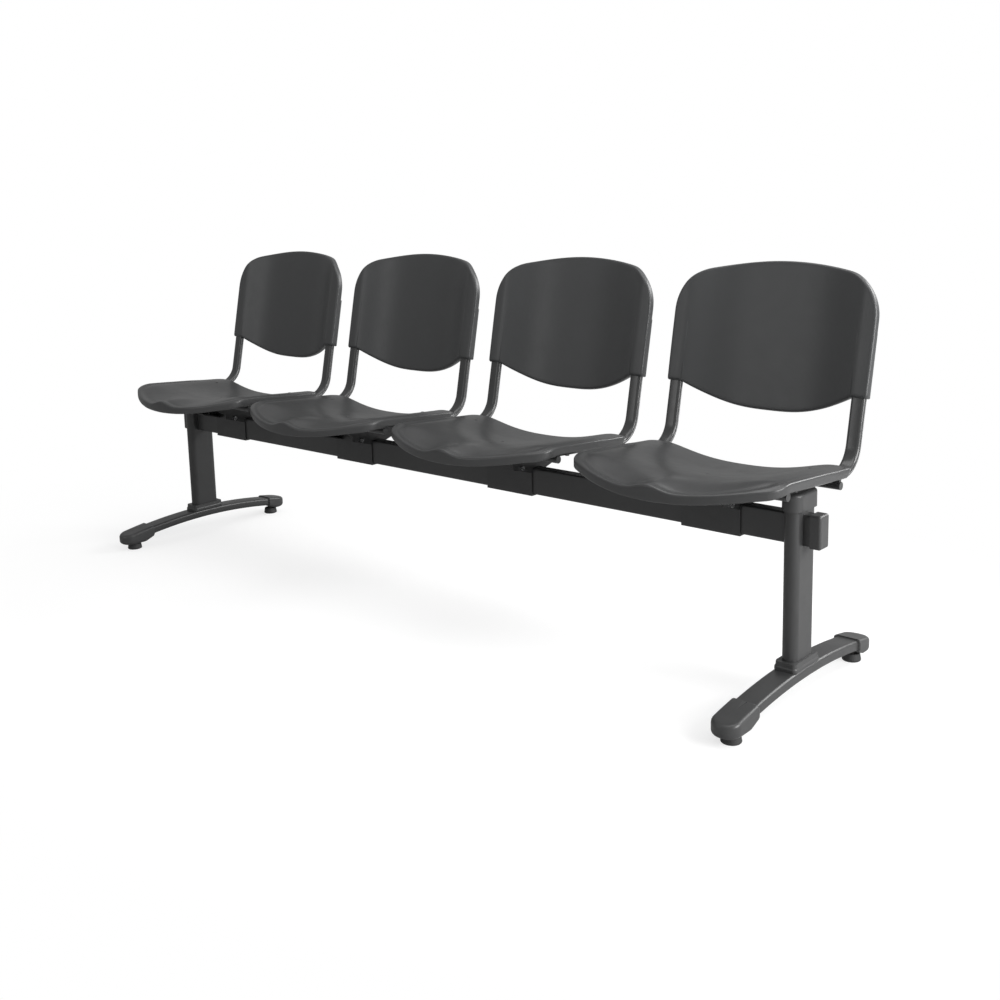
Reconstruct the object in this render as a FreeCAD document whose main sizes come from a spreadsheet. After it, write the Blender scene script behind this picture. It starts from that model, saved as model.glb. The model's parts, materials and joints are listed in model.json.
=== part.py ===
import FreeCAD, Part
import math
import os
import re
import Sketcher
from FreeCAD import Placement, Rotation, Vector

# Beam seating: four moulded seats on one steel beam, carried by two T-shaped legs.
# Frame: +X along the beam, +Y to the rear, +Z up, origin on the floor under the middle of the beam.

SEATS = (1, 2, 3, 4)
SIDES = (("left", -1), ("right", 1))
ENDS = (("front", -1), ("rear", 1))

SIZES = (
    ("beam_height", 60.0, "beam section, upright"),
    ("beam_depth", 30.0, "beam section, front to rear"),
    ("beam_wall", 2.5, "wall of the beam"),
    ("beam_corner", 4.0, "outside corner radius of the beam"),
    ("beam_middle", 338.0, "height of the beam's centre line"),
    ("shoe_length", 22.0, "end shoe over the beam, whole length"),
    ("shoe_end", 6.0, "end wall of the shoe"),
    ("shoe_wall", 2.5, "side wall of the shoe"),
    ("shoe_round", 5.0, "outside edge radius of the shoe"),
    ("fit_gap", 0.3, "clearance of every push fit"),
    ("weld_gap", 0.05, "distance between welded or touching faces"),
    ("leg_span", 1940.0, "centre to centre of the two legs"),
    ("leg_outset", 182.5, "a leg beyond the middle of the outer seat"),
    ("beam_overhang", 46.0, "beam beyond the centre of each leg"),
    ("column_width", 32.0, "oval column along the beam, over its flat sides"),
    ("column_depth", 80.0, "oval column front to rear"),
    ("column_wall", 2.5, "wall of the column"),
    ("head_wall", 4.7, "skirt wall of the column head"),
    ("column_rise", 30.0, "top of the column tube above the beam"),
    ("head_round", 6.0, "top edge radius of the column head"),
    ("head_skirt", 9.0, "lower edge of the column head above the beam"),
    ("head_rise", 43.0, "top of the column head above the beam"),
    ("collar_rise", 16.0, "height of the collar round the column's foot"),
    ("collar_flare", 8.0, "how far the collar stands out sideways at its base"),
    ("collar_ends", 10.0, "how far the collar stands out before and behind the column"),
    ("collar_round", 9.0, "corner radius of the collar"),
    ("collar_lip", 2.4, "how much narrower the collar is at its top, on every side"),
    ("foot_width", 50.0, "width of the foot bar"),
    ("foot_depth", 22.0, "depth of the foot bar's section"),
    ("foot_wall", 2.5, "wall of the foot bar"),
    ("foot_crown", 69.0, "top of the foot bar at the column"),
    ("foot_arch", 1450.0, "radius of the foot bar's top"),
    ("foot_round", 7.0, "edge radius of the foot bar's section"),
    ("toe_reach", 281.0, "tip of a toe cap from the column's axis"),
    ("toe_tip", 19.0, "toe cap beyond the end of the foot bar"),
    ("glide_inset", 41.0, "glide axis from the tip of the toe cap"),
    ("toe_front", 90.0, "length of the front toe cap"),
    ("toe_rear", 64.0, "length of the rear toe cap"),
    ("toe_width", 58.0, "width of a toe cap"),
    ("toe_shell", 3.4, "toe cap above the bar"),
    ("toe_floor", 18.0, "underside of a toe cap"),
    ("toe_ramp", 26.0, "length of the rising underside at the cap's open edge"),
    ("toe_rise", 10.0, "rise of the underside at the cap's open edge"),
    ("toe_nose", 27.0, "plan radius of a toe cap's nose"),
    ("toe_under", 10.0, "edge radius under a toe cap"),
    ("stud_radius", 5.0, "threaded stud of a glide"),
    ("stud_gap", 0.08, "running clearance of the stud"),
    ("hex_radius", 9.2, "corner radius of the stud's hexagon"),
    ("hex_height", 5.0, "height of the stud's hexagon, its stop"),
    ("disc_radius", 7.5, "flange of the stud inside the pad"),
    ("disc_bottom", 3.2, "underside of that flange"),
    ("disc_height", 2.8, "height of that flange"),
    ("pad_radius", 20.0, "glide pad at the floor"),
    ("pad_taper", 3.0, "how much narrower the pad is at its top, on every side"),
    ("pad_rim", 3.0, "rounding of the pad's lower edge"),
    ("pad_neck", 10.6, "radius of the recess for the hexagon in the pad's top"),
    ("pad_height", 16.8, "height of the pad"),
    ("pad_floor", 9.3, "floor of that recess"),
    ("pad_gap", 0.25, "clearance of the stud inside the pad"),
    ("insert_flange", 9.0, "flange radius of the threaded insert"),
    ("insert_radius", 7.5, "barrel radius of the threaded insert"),
    ("insert_step", 3.0, "thickness of the insert's flange"),
    ("insert_spare", 3.2, "space between the insert and the foot bar's upper wall"),
    ("stud_spare", 3.0, "end of the stud below the top of the insert"),
    ("plate", 3.0, "bracket sheet thickness"),
    ("bracket_half", 67.0, "half the bracket's length along the beam"),
    ("bracket_lap", 3.4, "how far the bracket's sides hang below the beam"),
    ("arm_root", 10.5, "drop of the arms' lower edge below the beam's top where they leave it"),
    ("arm_reach", 80.0, "where the arms' lower edge ends, before and behind the beam"),
    ("arm_lift", 18.0, "rise of the arms' lower edge over that reach"),
    ("arm_nose", 14.0, "length of the arms beyond the cross tubes"),
    ("arm_waist", 32.0, "height of the arms' upper edge above the beam"),
    ("arm_flange", 27.0, "inward flange under the arms"),
    ("keeper_inset", 7.0, "how much shorter the keeper plate is on its left"),
    ("seat_spacing", 105.8, "between the frame tubes of neighbouring seats"),
    ("run_rise", 63.0, "frame tube under the seat above the beam, at the beam"),
    ("back_lift", 129.5, "back's lower corners above the frame tube under the seat"),
    ("oval_width", 30.0, "oval frame tube, broad side"),
    ("oval_depth", 15.0, "oval frame tube, narrow side"),
    ("oval_wall", 1.5, "wall of the oval frame tube"),
    ("recline", 12.0, "lean of the backrest from upright, degrees"),
    ("seat_tilt", 4.0, "fall of the seat to the rear, degrees"),
    ("bend_radius", 60.0, "centre line radius of the frame tube's bend"),
    ("back_hinge", 184.0, "frame tube behind the beam at the back's lower corners"),
    ("run_front", 150.0, "front end of the frame tube before the beam"),
    ("sleeve_depth", 128.0, "how far the tube goes up into the back"),
    ("rod_radius", 8.0, "cross tube radius"),
    ("rod_wall", 1.5, "cross tube wall"),
    ("rod_stub", 2.4, "cross tube beyond the middle of the frame tube"),
    ("rod_front", 104.0, "front cross tube before the beam"),
    ("rod_rear", 106.0, "rear cross tube behind the beam"),
    ("lug_length", 14.0, "spacer lug between rear cross tube and frame tube"),
    ("lug_height", 6.6, "height of that lug over the cross tube"),
    ("cap_flange", 2.0, "visible end of a plastic tube plug"),
    ("cap_depth", 12.0, "how far a tube plug goes in"),
    ("seat_front", 240.0, "front edge of the seat before the beam"),
    ("seat_rear", 121.0, "rear edge of the seat behind the beam"),
    ("seat_setback", 77.5, "how far the seat's front edge draws back to its sides"),
    ("seat_corner", 48.0, "plan radius of the seat's front corners"),
    ("seat_heel", 22.0, "plan radius of the seat's rear corners"),
    ("seat_skin", 3.5, "wall of the seat shell"),
    ("seat_flange", 5.0, "thickness of the seat's turned-down edge"),
    ("flange_drop", 18.0, "depth of the seat's turned-down edge"),
    ("seat_clear", 4.5, "space between the seat's shoulders and the frame tubes"),
    ("seat_side", 22.4, "seat beyond the middle of the frame tube"),
    ("seat_fall", 19.0, "fall of the seat's shoulders towards the front edge"),
    ("seat_lip", 6.5, "fall of the seat's middle towards the front edge"),
    ("seat_hump", 13.0, "height of the hump in the middle of the front edge"),
    ("boss_radius", 8.0, "screw boss under the seat"),
    ("boss_front", 70.0, "front screws before the beam"),
    ("boss_rear", 66.0, "rear screws behind the beam"),
    ("back_rise", 270.0, "back's top above its lower corners, along the lean"),
    ("back_side", 5.1, "back beyond the frame tube at each side"),
    ("back_bow", 640.0, "radius of the back's upper edge"),
    ("back_shoulder", 100.0, "radius of the back's upper corners"),
    ("back_drop", 42.0, "back's lowest point below its lower corners"),
    ("back_foot", 34.0, "width of the back's straight lower corners"),
    ("back_skin", 3.5, "wall of the back shell"),
    ("back_rim", 16.0, "depth of the back's rim"),
    ("rim_wall", 3.2, "thickness of the back's rim"),
    ("back_sag", 38.0, "hollow of the back from side to side"),
    ("sleeve_wall", 3.0, "wall of the sleeves in the back"),
    ("screw_radius", 2.5, "self-tapping screw"),
    ("screw_bite", 5.0, "length of the screws in the plastic"),
    ("screw_head", 4.8, "head radius of the self-tapping screw"),
    ("screw_cap", 2.8, "head height of the self-tapping screw"),
    ("screw_gap", 0.1, "clearance round every screw and bolt"),
    ("back_screw", 60.0, "back screws above the back's lower corners"),
    ("bolt_radius", 3.0, "bracket bolt"),
    ("bolt_head", 5.6, "corner radius of the bracket bolt's hexagon"),
    ("bolt_cap", 4.0, "height of the bracket bolt's hexagon"),
    ("bolt_tail", 9.0, "length of a bracket bolt under its head"),
    ("bolt_front", 50.0, "arm bolt before the beam"),
    ("bolt_lift", 6.0, "arm bolt above the beam's top"),
    ("clamp_spread", 42.0, "clamp bolts left and right of the bracket's middle"),
    ("leg_bolt_radius", 4.0, "leg bolt"),
    ("leg_bolt_head", 7.0, "head radius of the leg bolt"),
    ("leg_bolt_cap", 4.5, "head height of the leg bolt"),
    ("leg_bolt_drop", 15.0, "leg bolts above and below the beam's centre line"),
)

doc = FreeCAD.newDocument("beam_seating")
sheet = doc.addObject("Spreadsheet::Sheet", "sizes")
WORDS = set()


def cell(word, number, note):
    """Write one size into the sheet, as a plain number."""
    WORDS.add(word)
    row = len(WORDS)
    sheet.set(f"A{row}", str(number))
    sheet.setAlias(f"A{row}", word)
    sheet.set(f"B{row}", note)


def size(word):
    """The value of one cell."""
    return float(sheet.get(word))


def follow(word, number, note):
    """A size that keeps together with others, worked out from their cells."""
    cell(word, round(number, 6), note)
    doc.recompute()


for word, number, note in SIZES:
    cell(word, number, note)
doc.recompute()

follow("beam_length", size("leg_span") + 2 * size("beam_overhang"), "steel beam, end to end")
follow("seat_pitch", (size("leg_span") - 2 * size("leg_outset")) / (len(SEATS) - 1),
       "centre to centre of neighbouring seats")
follow("tube_half", (size("seat_pitch") - size("seat_spacing")) / 2,
       "seat frame tube from the seat's centre")
follow("rod_half", size("tube_half") + size("rod_stub"), "half length of a cross tube")
follow("seat_half", size("tube_half") + size("seat_side"), "half the seat's width")
follow("seat_bow", (size("seat_half") ** 2 + size("seat_setback") ** 2) / (2 * size("seat_setback")),
       "plan radius of the seat's front edge")
follow("back_half", size("tube_half") + size("oval_width") / 2 + size("fit_gap") + size("back_side"),
       "half the back's width")
follow("beam_top", size("beam_middle") + size("beam_height") / 2, "upper face of the beam")
follow("column_top", size("beam_top") + size("column_rise"), "top of the column tube")
follow("head_bottom", size("beam_top") + size("head_skirt"), "lower edge of the column head")
follow("head_top", size("beam_top") + size("head_rise"), "top of the column head")
follow("run_level", size("beam_top") + size("run_rise"),
       "height of the frame tube under the seat, above the beam")
follow("back_level", size("run_level") + size("back_lift"), "height of the back's lower corners")
follow("foot_length", 2 * (size("toe_reach") - size("toe_tip")), "arched foot bar, front to rear")
follow("glide_reach", size("toe_reach") - size("glide_inset"), "glide axis from the column's axis")
follow("insert_top", size("foot_crown") - size("foot_arch") - size("foot_wall") - size("insert_spare")
       + math.sqrt(size("foot_arch") ** 2 - (size("glide_reach") + size("insert_radius")) ** 2),
       "top of the insert's barrel")
follow("stud_top", size("insert_top") - size("stud_spare"), "top of the stud above the floor")

UPRIGHT = Rotation()
ALONG_X = Rotation(Vector(0, 1, 0), 90)
ALONG_Y = Rotation(Vector(1, 0, 0), -90)

# Places that several pieces share, as formulas of the sheet's sizes.
BEAM_BOTTOM = "(beam_middle - beam_height / 2)"
FOOT_AXIS = "(foot_crown - foot_arch)"


def formula(text):
    """A formula with every size written as a cell of the sheet."""
    return re.sub(r"[a-z_]+", lambda m: "sizes." + m[0] if m[0] in WORDS else m[0], text)


def bind(thing, **formulas):
    """Bind properties to the sheet; x, y and z are the object's place."""
    for name, text in formulas.items():
        path = ".Placement.Base." + name if name in "xyz" else name
        thing.setExpression(path, formula(str(text)))
    return thing


def box(name, length, width, height, x="0", y="0", z="0"):
    """A box centred on x and y, standing on z."""
    thing = doc.addObject("Part::Box", name)
    return bind(thing, Length=length, Width=width, Height=height,
                x=f"{x} - ({length}) / 2", y=f"{y} - ({width}) / 2", z=z)


def rod(name, radius, length, x="0", y="0", z="0", turn=UPRIGHT):
    """A cylinder that starts at x, y, z and runs up, along X or along Y."""
    thing = doc.addObject("Part::Cylinder", name)
    thing.Placement = Placement(Vector(), turn)
    return bind(thing, Radius=radius, Height=length, x=x, y=y, z=z)


def cut(name, base, tool):
    thing = doc.addObject("Part::Cut", name)
    thing.Base = base
    thing.Tool = tool
    return thing


def fuse(name, *shapes):
    thing = doc.addObject("Part::MultiFuse", name)
    thing.Shapes = list(shapes)
    return thing


def common(name, *shapes):
    thing = doc.addObject("Part::MultiCommon", name)
    thing.Shapes = list(shapes)
    return thing


def oval_prism(name, width, depth, bottom, top, x):
    """An upright prism with flat sides and round ends, long along Y."""
    length = f"({top}) - ({bottom})"
    flats = box(name + "_flats", width, f"({depth}) - ({width})", length, x=x, z=bottom)
    ends = [rod(f"{name}_end_{end}", f"({width}) / 2", length, x=x,
                y=f"{way} * (({depth}) - ({width})) / 2", z=bottom) for end, way in ENDS]
    whole = fuse(name, flats, *ends)
    whole.Refine = True
    return whole


def feature(name, shape, place=Placement()):
    """A sub-part whose shape comes from Part's own functions."""
    thing = doc.addObject("Part::Feature", name)
    thing.Shape = shape
    thing.Placement = place
    return thing


parts = []


def keep(label, thing):
    """Name a finished sub-part; the name is its file's name."""
    thing.Label = label
    parts.append(thing)
    return thing


def rectangle(body, name, role, wide, high):
    """A sketch with one rectangle centred on the body's origin."""
    sketch = body.newObject("Sketcher::SketchObject", name)
    plane = next(f for f in body.Origin.OriginFeatures if f.Role == role)
    sketch.AttachmentSupport = [(plane, "")]
    sketch.MapMode = "FlatFace"
    corners = (Vector(-1, -1, 0), Vector(1, -1, 0), Vector(1, 1, 0), Vector(-1, 1, 0))
    for i in range(4):
        sketch.addGeometry(Part.LineSegment(corners[i], corners[(i + 1) % 4]), False)
    for i in range(4):
        sketch.addConstraint(Sketcher.Constraint("Coincident", i, 2, (i + 1) % 4, 1))
    for i, kind in enumerate(("Horizontal", "Vertical", "Horizontal", "Vertical")):
        sketch.addConstraint(Sketcher.Constraint(kind, i))
    sketch.addConstraint(Sketcher.Constraint("Symmetric", 0, 1, 1, 2, -1, 1))
    wide_row = sketch.addConstraint(Sketcher.Constraint("DistanceX", 0, 1, 0, 2, 2.0))
    high_row = sketch.addConstraint(Sketcher.Constraint("DistanceY", 1, 1, 1, 2, 2.0))
    sketch.setExpression(f"Constraints[{wide_row}]", formula(wide))
    sketch.setExpression(f"Constraints[{high_row}]", formula(high))
    return sketch


def pad(body, name, sketch, length, middle=False):
    thing = body.newObject("PartDesign::Pad", name)
    thing.Profile = sketch
    thing.Midplane = middle
    bind(thing, Length=length)
    doc.recompute()
    return thing


def pocket(body, name, sketch, length, middle=False, reverse=False):
    before = body.Shape.Volume
    thing = body.newObject("PartDesign::Pocket", name)
    thing.Profile = sketch
    thing.Midplane = middle
    thing.Reversed = reverse
    bind(thing, Length=length)
    doc.recompute()
    if body.Shape.Volume >= before:
        raise ValueError(name + " cuts nothing")
    return thing


def edges_where(shape, test):
    return [i for i, edge in enumerate(shape.Edges, start=1) if test(edge)]


def runs_along(edge, axis):
    run = edge.valueAt(edge.LastParameter) - edge.valueAt(edge.FirstParameter)
    return run.Length > 0 and run.cross(axis).Length < 1e-6 * run.Length


def round_edges(body, name, base, edges, radius):
    thing = body.newObject("PartDesign::Fillet", name)
    thing.Base = (base, [f"Edge{i}" for i in edges])
    bind(thing, Radius=radius)
    doc.recompute()
    return thing


def part_fillet(name, base, edges, radius):
    thing = doc.addObject("Part::Fillet", name)
    thing.Base = base
    thing.Edges = [(i, radius, radius) for i in edges]
    return thing


def cylinder(radius, start, axis, length):
    return Part.makeCylinder(radius, length, start, axis)


def hexagon(radius, start, axis, length):
    """A hexagonal prism from its start along its axis."""
    points = [Vector(radius * math.cos(a), radius * math.sin(a), 0)
              for a in (math.radians(60 * i) for i in range(7))]
    prism = Part.Face(Part.makePolygon(points)).extrude(Vector(0, 0, length))
    prism.Placement = Placement(start, Rotation(Vector(0, 0, 1), axis))
    return prism


def join(shapes):
    """One solid from pieces that meet or overlap."""
    return shapes[0].fuse(shapes[1:]).removeSplitter()


def seat_middle(seat):
    return (seat - (len(SEATS) + 1) / 2) * size("seat_pitch")


def leg_middle(side):
    return f"{side} * leg_span / 2"


# The beam and the shoes over its ends.

def clamp_bolt_places():
    return [seat_middle(seat) + way * size("clamp_spread") for seat in SEATS for way in (-1, 1)]


def leg_bolt_levels():
    return [size("beam_middle") + way * size("leg_bolt_drop") for way in (-1, 1)]


def beam_holes():
    """Holes in the beam for the clamp bolts, and through it for the leg bolts."""
    middle = size("beam_middle")
    holes = []
    for x in clamp_bolt_places():
        start = Vector(x, size("beam_depth") / 2 - size("beam_wall") - 1, middle)
        holes.append(cylinder(size("bolt_radius") + size("screw_gap"), start,
                              Vector(0, 1, 0), size("beam_wall") + 2))
    for x in (-size("leg_span") / 2, size("leg_span") / 2):
        for z in leg_bolt_levels():
            holes.append(cylinder(size("leg_bolt_radius") + size("screw_gap"),
                                  Vector(x, -size("beam_depth"), z),
                                  Vector(0, 1, 0), 2 * size("beam_depth")))
    return feature("beam_holes", Part.makeCompound(holes))


def make_beam():
    body = doc.addObject("PartDesign::Body", "beam_body")
    outside = rectangle(body, "beam_outside", "YZ_Plane", "beam_depth", "beam_height")
    bar = pad(body, "beam_bar", outside, "beam_length", middle=True)
    long_edges = edges_where(bar.Shape, lambda e: runs_along(e, Vector(1, 0, 0)))
    round_edges(body, "beam_corners", bar, long_edges, "beam_corner")
    inside = rectangle(body, "beam_inside", "YZ_Plane",
                       "beam_depth - 2 * beam_wall", "beam_height - 2 * beam_wall")
    pocket(body, "beam_bore", inside, "beam_length * 2", middle=True)
    bind(body, z="beam_middle")
    return keep("beam", cut("beam_drilled", body, beam_holes()))


def make_shoe(label, side):
    """The moulded shoe over one end of the beam."""
    body = doc.addObject("PartDesign::Body", label + "_body")
    outline = rectangle(body, label + "_outline", "YZ_Plane",
                        "beam_depth + 2 * (fit_gap + shoe_wall)",
                        "beam_height + 2 * (fit_gap + shoe_wall)")
    block = pad(body, label + "_block", outline, "shoe_length")
    far = size("shoe_length")
    outer = edges_where(block.Shape, lambda e: runs_along(e, Vector(1, 0, 0))
                        or min(v.X for v in e.Vertexes) > far - 1e-6)
    round_edges(body, label + "_round", block, outer, "shoe_round")
    mouth = rectangle(body, label + "_mouth", "YZ_Plane",
                      "beam_depth + 2 * fit_gap", "beam_height + 2 * fit_gap")
    pocket(body, label + "_bore", mouth, "shoe_length - shoe_end", reverse=True)
    turn = 0 if side > 0 else 180
    body.Placement = Placement(Vector(), Rotation(Vector(0, 0, 1), turn))
    bind(body, x=f"{side} * (beam_length / 2 + fit_gap + shoe_end - shoe_length)", z="beam_middle")
    return keep(label, body)


# The legs: column, its head and collar, the arched foot bar and its caps.

# Rings of the collar: part of its rise, and part of its lip that the ring is drawn in.
COLLAR_STEPS = ((0, 0), (0.4, 0), (0.55, 0.75), (1, 1))

def over_foot(name, x, grow="0"):
    """The lying cylinder whose upper side is the foot bar's top."""
    return rod(name, f"foot_arch + {grow}", "foot_width * 3", x=f"{x} - foot_width * 1.5",
               z=FOOT_AXIS, turn=ALONG_X)


def make_column(label, side):
    x = leg_middle(side)
    low = "foot_crown - 2"
    outside = oval_prism(label + "_outside", "column_width", "column_depth", low, "column_top", x)
    inside = oval_prism(label + "_inside", "column_width - 2 * column_wall",
                        "column_depth - 2 * column_wall", low, "column_top", x)
    tube = cut(label + "_tube", outside, inside)
    window = box(label + "_window", "column_width * 2", "beam_depth + 2 * fit_gap",
                 "beam_height + 2 * fit_gap", x=x, z=BEAM_BOTTOM + " - fit_gap")
    holes = [rod(f"{label}_hole_{way}", "leg_bolt_radius + screw_gap", "column_depth", x=x,
                 z=f"beam_middle + {way} * leg_bolt_drop", turn=ALONG_Y) for way in (-1, 1)]
    tools = fuse(label + "_tools", window, over_foot(label + "_foot", x, "weld_gap"), *holes)
    return keep(label, cut(label + "_drilled", tube, tools))


def make_head(label, side):
    """The moulded head that closes the top of a column."""
    x = leg_middle(side)
    extra = " + 2 * (head_wall + fit_gap)"
    outside = oval_prism(label + "_outside", "column_width" + extra, "column_depth" + extra,
                         "head_bottom", "head_top", x)
    doc.recompute()
    top = size("head_top")
    crown = edges_where(outside.Shape, lambda e: e.BoundBox.ZMin > top - 1e-3)
    soft = part_fillet(label + "_soft", outside, crown, size("head_round"))
    inside = oval_prism(label + "_inside", "column_width + 2 * fit_gap", "column_depth + 2 * fit_gap",
                        "head_bottom - 1", "column_top + fit_gap", x)
    return keep(label, cut(label + "_hollow", soft, inside))


def round_wire(width, depth, radius, z):
    """A level rectangle with round corners, long along Y."""
    a = width / 2
    b = depth / 2
    corners = ((a, -b), (a, b), (-a, b), (-a, -b))
    soft = radius * (1 - math.sqrt(0.5))
    arcs = []
    for i, (x, y) in enumerate(corners):
        sx = math.copysign(1, x)
        sy = math.copysign(1, y)
        before = Vector(x - sx * radius, y, z)
        after = Vector(x, y - sy * radius, z)
        if i % 2:
            before, after = after, before
        knee = Vector(x - sx * soft, y - sy * soft, z)
        arcs.append((before, knee, after))
    edges = []
    for i, (before, knee, after) in enumerate(arcs):
        edges.append(Part.Arc(before, knee, after).toShape())
        edges.append(Part.LineSegment(after, arcs[(i + 1) % 4][0]).toShape())
    return Part.Wire(edges)


def make_collar(label, side):
    """The flared collar round the foot of a column."""
    x = leg_middle(side)
    low = size("foot_crown") - size("collar_lip")
    rise_by = size("foot_crown") + size("collar_rise") - low
    rings = []
    for part_up, part_in in COLLAR_STEPS:
        inset = size("collar_lip") * part_in
        rings.append(round_wire(size("column_width") + 2 * (size("collar_flare") - inset),
                                size("column_depth") + 2 * (size("collar_ends") - inset),
                                size("collar_round") - inset / 2, low + rise_by * part_up))
    loft = feature(label + "_loft", Part.makeLoft(rings, True, True),
                   Placement(Vector(side * size("leg_span") / 2, 0, 0), UPRIGHT))
    hole = oval_prism(label + "_hole", "column_width + 2 * fit_gap", "column_depth + 2 * fit_gap",
                      "foot_crown - collar_rise", "foot_crown + 2 * collar_rise", x)
    tools = fuse(label + "_tools", hole, over_foot(label + "_foot", x, "weld_gap"))
    return keep(label, cut(label + "_ring", loft, tools))


def arch(name, x, width, length, grow):
    """The foot bar's curved block, grown on every side by a clearance or shrunk by a wall."""
    block = box(name + "_block", width, length, "foot_crown * 2", x=x)
    over = rod(name + "_over", f"foot_arch + ({grow})", width, x=f"{x} - ({width}) / 2",
               z=FOOT_AXIS, turn=ALONG_X)
    under = rod(name + "_under", f"foot_arch - foot_depth - ({grow})", f"{width} + 2",
                x=f"{x} - ({width}) / 2 - 1", z=FOOT_AXIS, turn=ALONG_X)
    return cut(name, common(name + "_slab", block, over), under)


def insert_hole(name, x, way):
    return rod(name, "insert_radius + fit_gap", "insert_top - toe_floor", x=x,
               y=f"{way} * glide_reach", z="toe_floor - 1")


def make_foot(label, side):
    """The arched steel tube that lies across the beam under a column."""
    x = leg_middle(side)
    outside = arch(label + "_outside", x, "foot_width", "foot_length", "0")
    doc.recompute()
    long_edges = edges_where(outside.Shape, lambda e: e.Curve.TypeId == "Part::GeomCircle")
    soft = part_fillet(label + "_soft", outside, long_edges, size("foot_round"))
    inside = arch(label + "_inside", x, "foot_width - 2 * foot_wall", "foot_length + 2", "-foot_wall")
    holes = [insert_hole(f"{label}_hole_{end}", x, way) for end, way in ENDS]
    return keep(label, cut(label + "_drilled", soft, fuse(label + "_tools", inside, *holes)))


def make_toe(label, side, end, way):
    """A moulded toe cap over one end of a foot bar."""
    x = leg_middle(side)
    length = "toe_" + end
    body = doc.addObject("PartDesign::Body", label + "_body")
    plan = rectangle(body, label + "_plan", "XY_Plane", "toe_width", length)
    block = pad(body, label + "_block", plan, "foot_crown - toe_floor")
    half = size(length) / 2
    nose = edges_where(block.Shape, lambda e: runs_along(e, Vector(0, 0, 1))
                       and way * e.Vertexes[0].Y > half - 1e-6)
    round_edges(body, label + "_nose", block, nose, "toe_nose")
    bind(body, x=x, y=f"{way} * (toe_reach - {length} / 2)", z="toe_floor")
    capped = common(label + "_capped", body, over_foot(label + "_lid", x, "toe_shell"))
    doc.recompute()
    floor = size("toe_floor")
    mouth = size("toe_reach") - size(length)
    lower = edges_where(capped.Shape, lambda e: e.BoundBox.ZMax < floor + 1e-3
                        and way * e.CenterOfMass.y > mouth + 1e-3)
    under = part_fillet(label + "_under", capped, lower, size("toe_under"))
    doc.recompute()
    upper = edges_where(under.Shape, lambda e: e.BoundBox.ZMin > floor + size("toe_under") + 1
                        and way * e.CenterOfMass.y > mouth + 1e-3
                        and not runs_along(e, Vector(0, 0, 1)))
    soft = part_fillet(label + "_soft", under, upper, size("foot_round"))
    ramp = doc.addObject("Part::Wedge", label + "_ramp")
    ramp.Placement = Placement(Vector(), Rotation(Vector(0, 0, 1), 0 if way > 0 else 180))
    bind(ramp, Xmin="-toe_width", Xmax="toe_width", X2min="-toe_width", X2max="toe_width",
         Ymin="0", Ymax="toe_ramp", Zmin="-1", Zmax="toe_rise", Z2min="-1", Z2max="0",
         x=x, y=f"{way} * (toe_reach - {length})", z="toe_floor")
    cavity = arch(label + "_cavity", x, "foot_width + 2 * fit_gap", "foot_length + 2 * fit_gap", "fit_gap")
    tools = fuse(label + "_tools", ramp, cavity, insert_hole(label + "_hole", x, way))
    return keep(label, cut(label + "_drilled", soft, tools))


# The levelling glides: pad, threaded stud and the insert in the foot.

def glide_shapes():
    """The pad, the stud and the insert round the glide's own axis."""
    top = size("pad_height")
    body = Part.makeCone(size("pad_radius"), size("pad_radius") - size("pad_taper"), top)
    rims = [edge for edge in body.Edges if edge.BoundBox.ZLength < 1e-6]
    lower = [edge for edge in rims if edge.CenterOfMass.z < top / 2]
    body = body.makeFillet(size("pad_rim"), lower)
    upper = [edge for edge in body.Edges if edge.BoundBox.ZMin > top - 1e-6]
    body = body.makeFillet(size("pad_rim") / 2, upper)
    gap = size("pad_gap")
    recess = cylinder(size("pad_neck"), Vector(0, 0, size("pad_floor")), Vector(0, 0, 1), top)
    nest = cylinder(size("disc_radius") + gap, Vector(0, 0, size("disc_bottom") - gap),
                    Vector(0, 0, 1), size("disc_height") + 2 * gap)
    neck = cylinder(size("stud_radius") + gap, Vector(0, 0, size("disc_bottom")), Vector(0, 0, 1), top)
    rubber = body.cut([recess, nest, neck])
    flange = size("toe_floor") - size("insert_step")
    disc = cylinder(size("disc_radius"), Vector(0, 0, size("disc_bottom")), Vector(0, 0, 1),
                    size("disc_height"))
    shaft = cylinder(size("stud_radius"), Vector(0, 0, size("disc_bottom")), Vector(0, 0, 1),
                     size("stud_top") - size("disc_bottom"))
    nut = hexagon(size("hex_radius"), Vector(0, 0, flange - size("hex_height") - size("weld_gap")),
                  Vector(0, 0, 1), size("hex_height"))
    steel = join([disc, shaft, nut])
    collar = cylinder(size("insert_flange"), Vector(0, 0, flange), Vector(0, 0, 1),
                      size("insert_step") - size("weld_gap"))
    barrel = cylinder(size("insert_radius"), Vector(0, 0, flange), Vector(0, 0, 1),
                      size("insert_top") - flange)
    bore = cylinder(size("stud_radius") + size("stud_gap"), Vector(0, 0, flange - 1), Vector(0, 0, 1),
                    size("insert_top"))
    brass = join([collar, barrel]).cut(bore)
    return rubber, steel, brass


def make_glides():
    rubber, steel, brass = glide_shapes()
    inserts = []
    for side_name, side in SIDES:
        for end, way in ENDS:
            place = Vector(side * size("leg_span") / 2, way * size("glide_reach"), 0)
            name = f"{side_name}_{end}"
            keep(f"glide_pad_{name}", feature(f"glide_pad_{name}_solid", rubber,
                                              Placement(place, UPRIGHT)))
            keep(f"glide_stud_{name}", feature(f"glide_stud_{name}_solid", steel,
                                               Placement(place, UPRIGHT)))
            inserts.append(brass.translated(place))
    keep("glide_inserts", feature("glide_inserts_solids", Part.makeCompound(inserts)))


# The seat frames: two L-shaped oval tubes, two cross tubes and their plugs.

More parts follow.
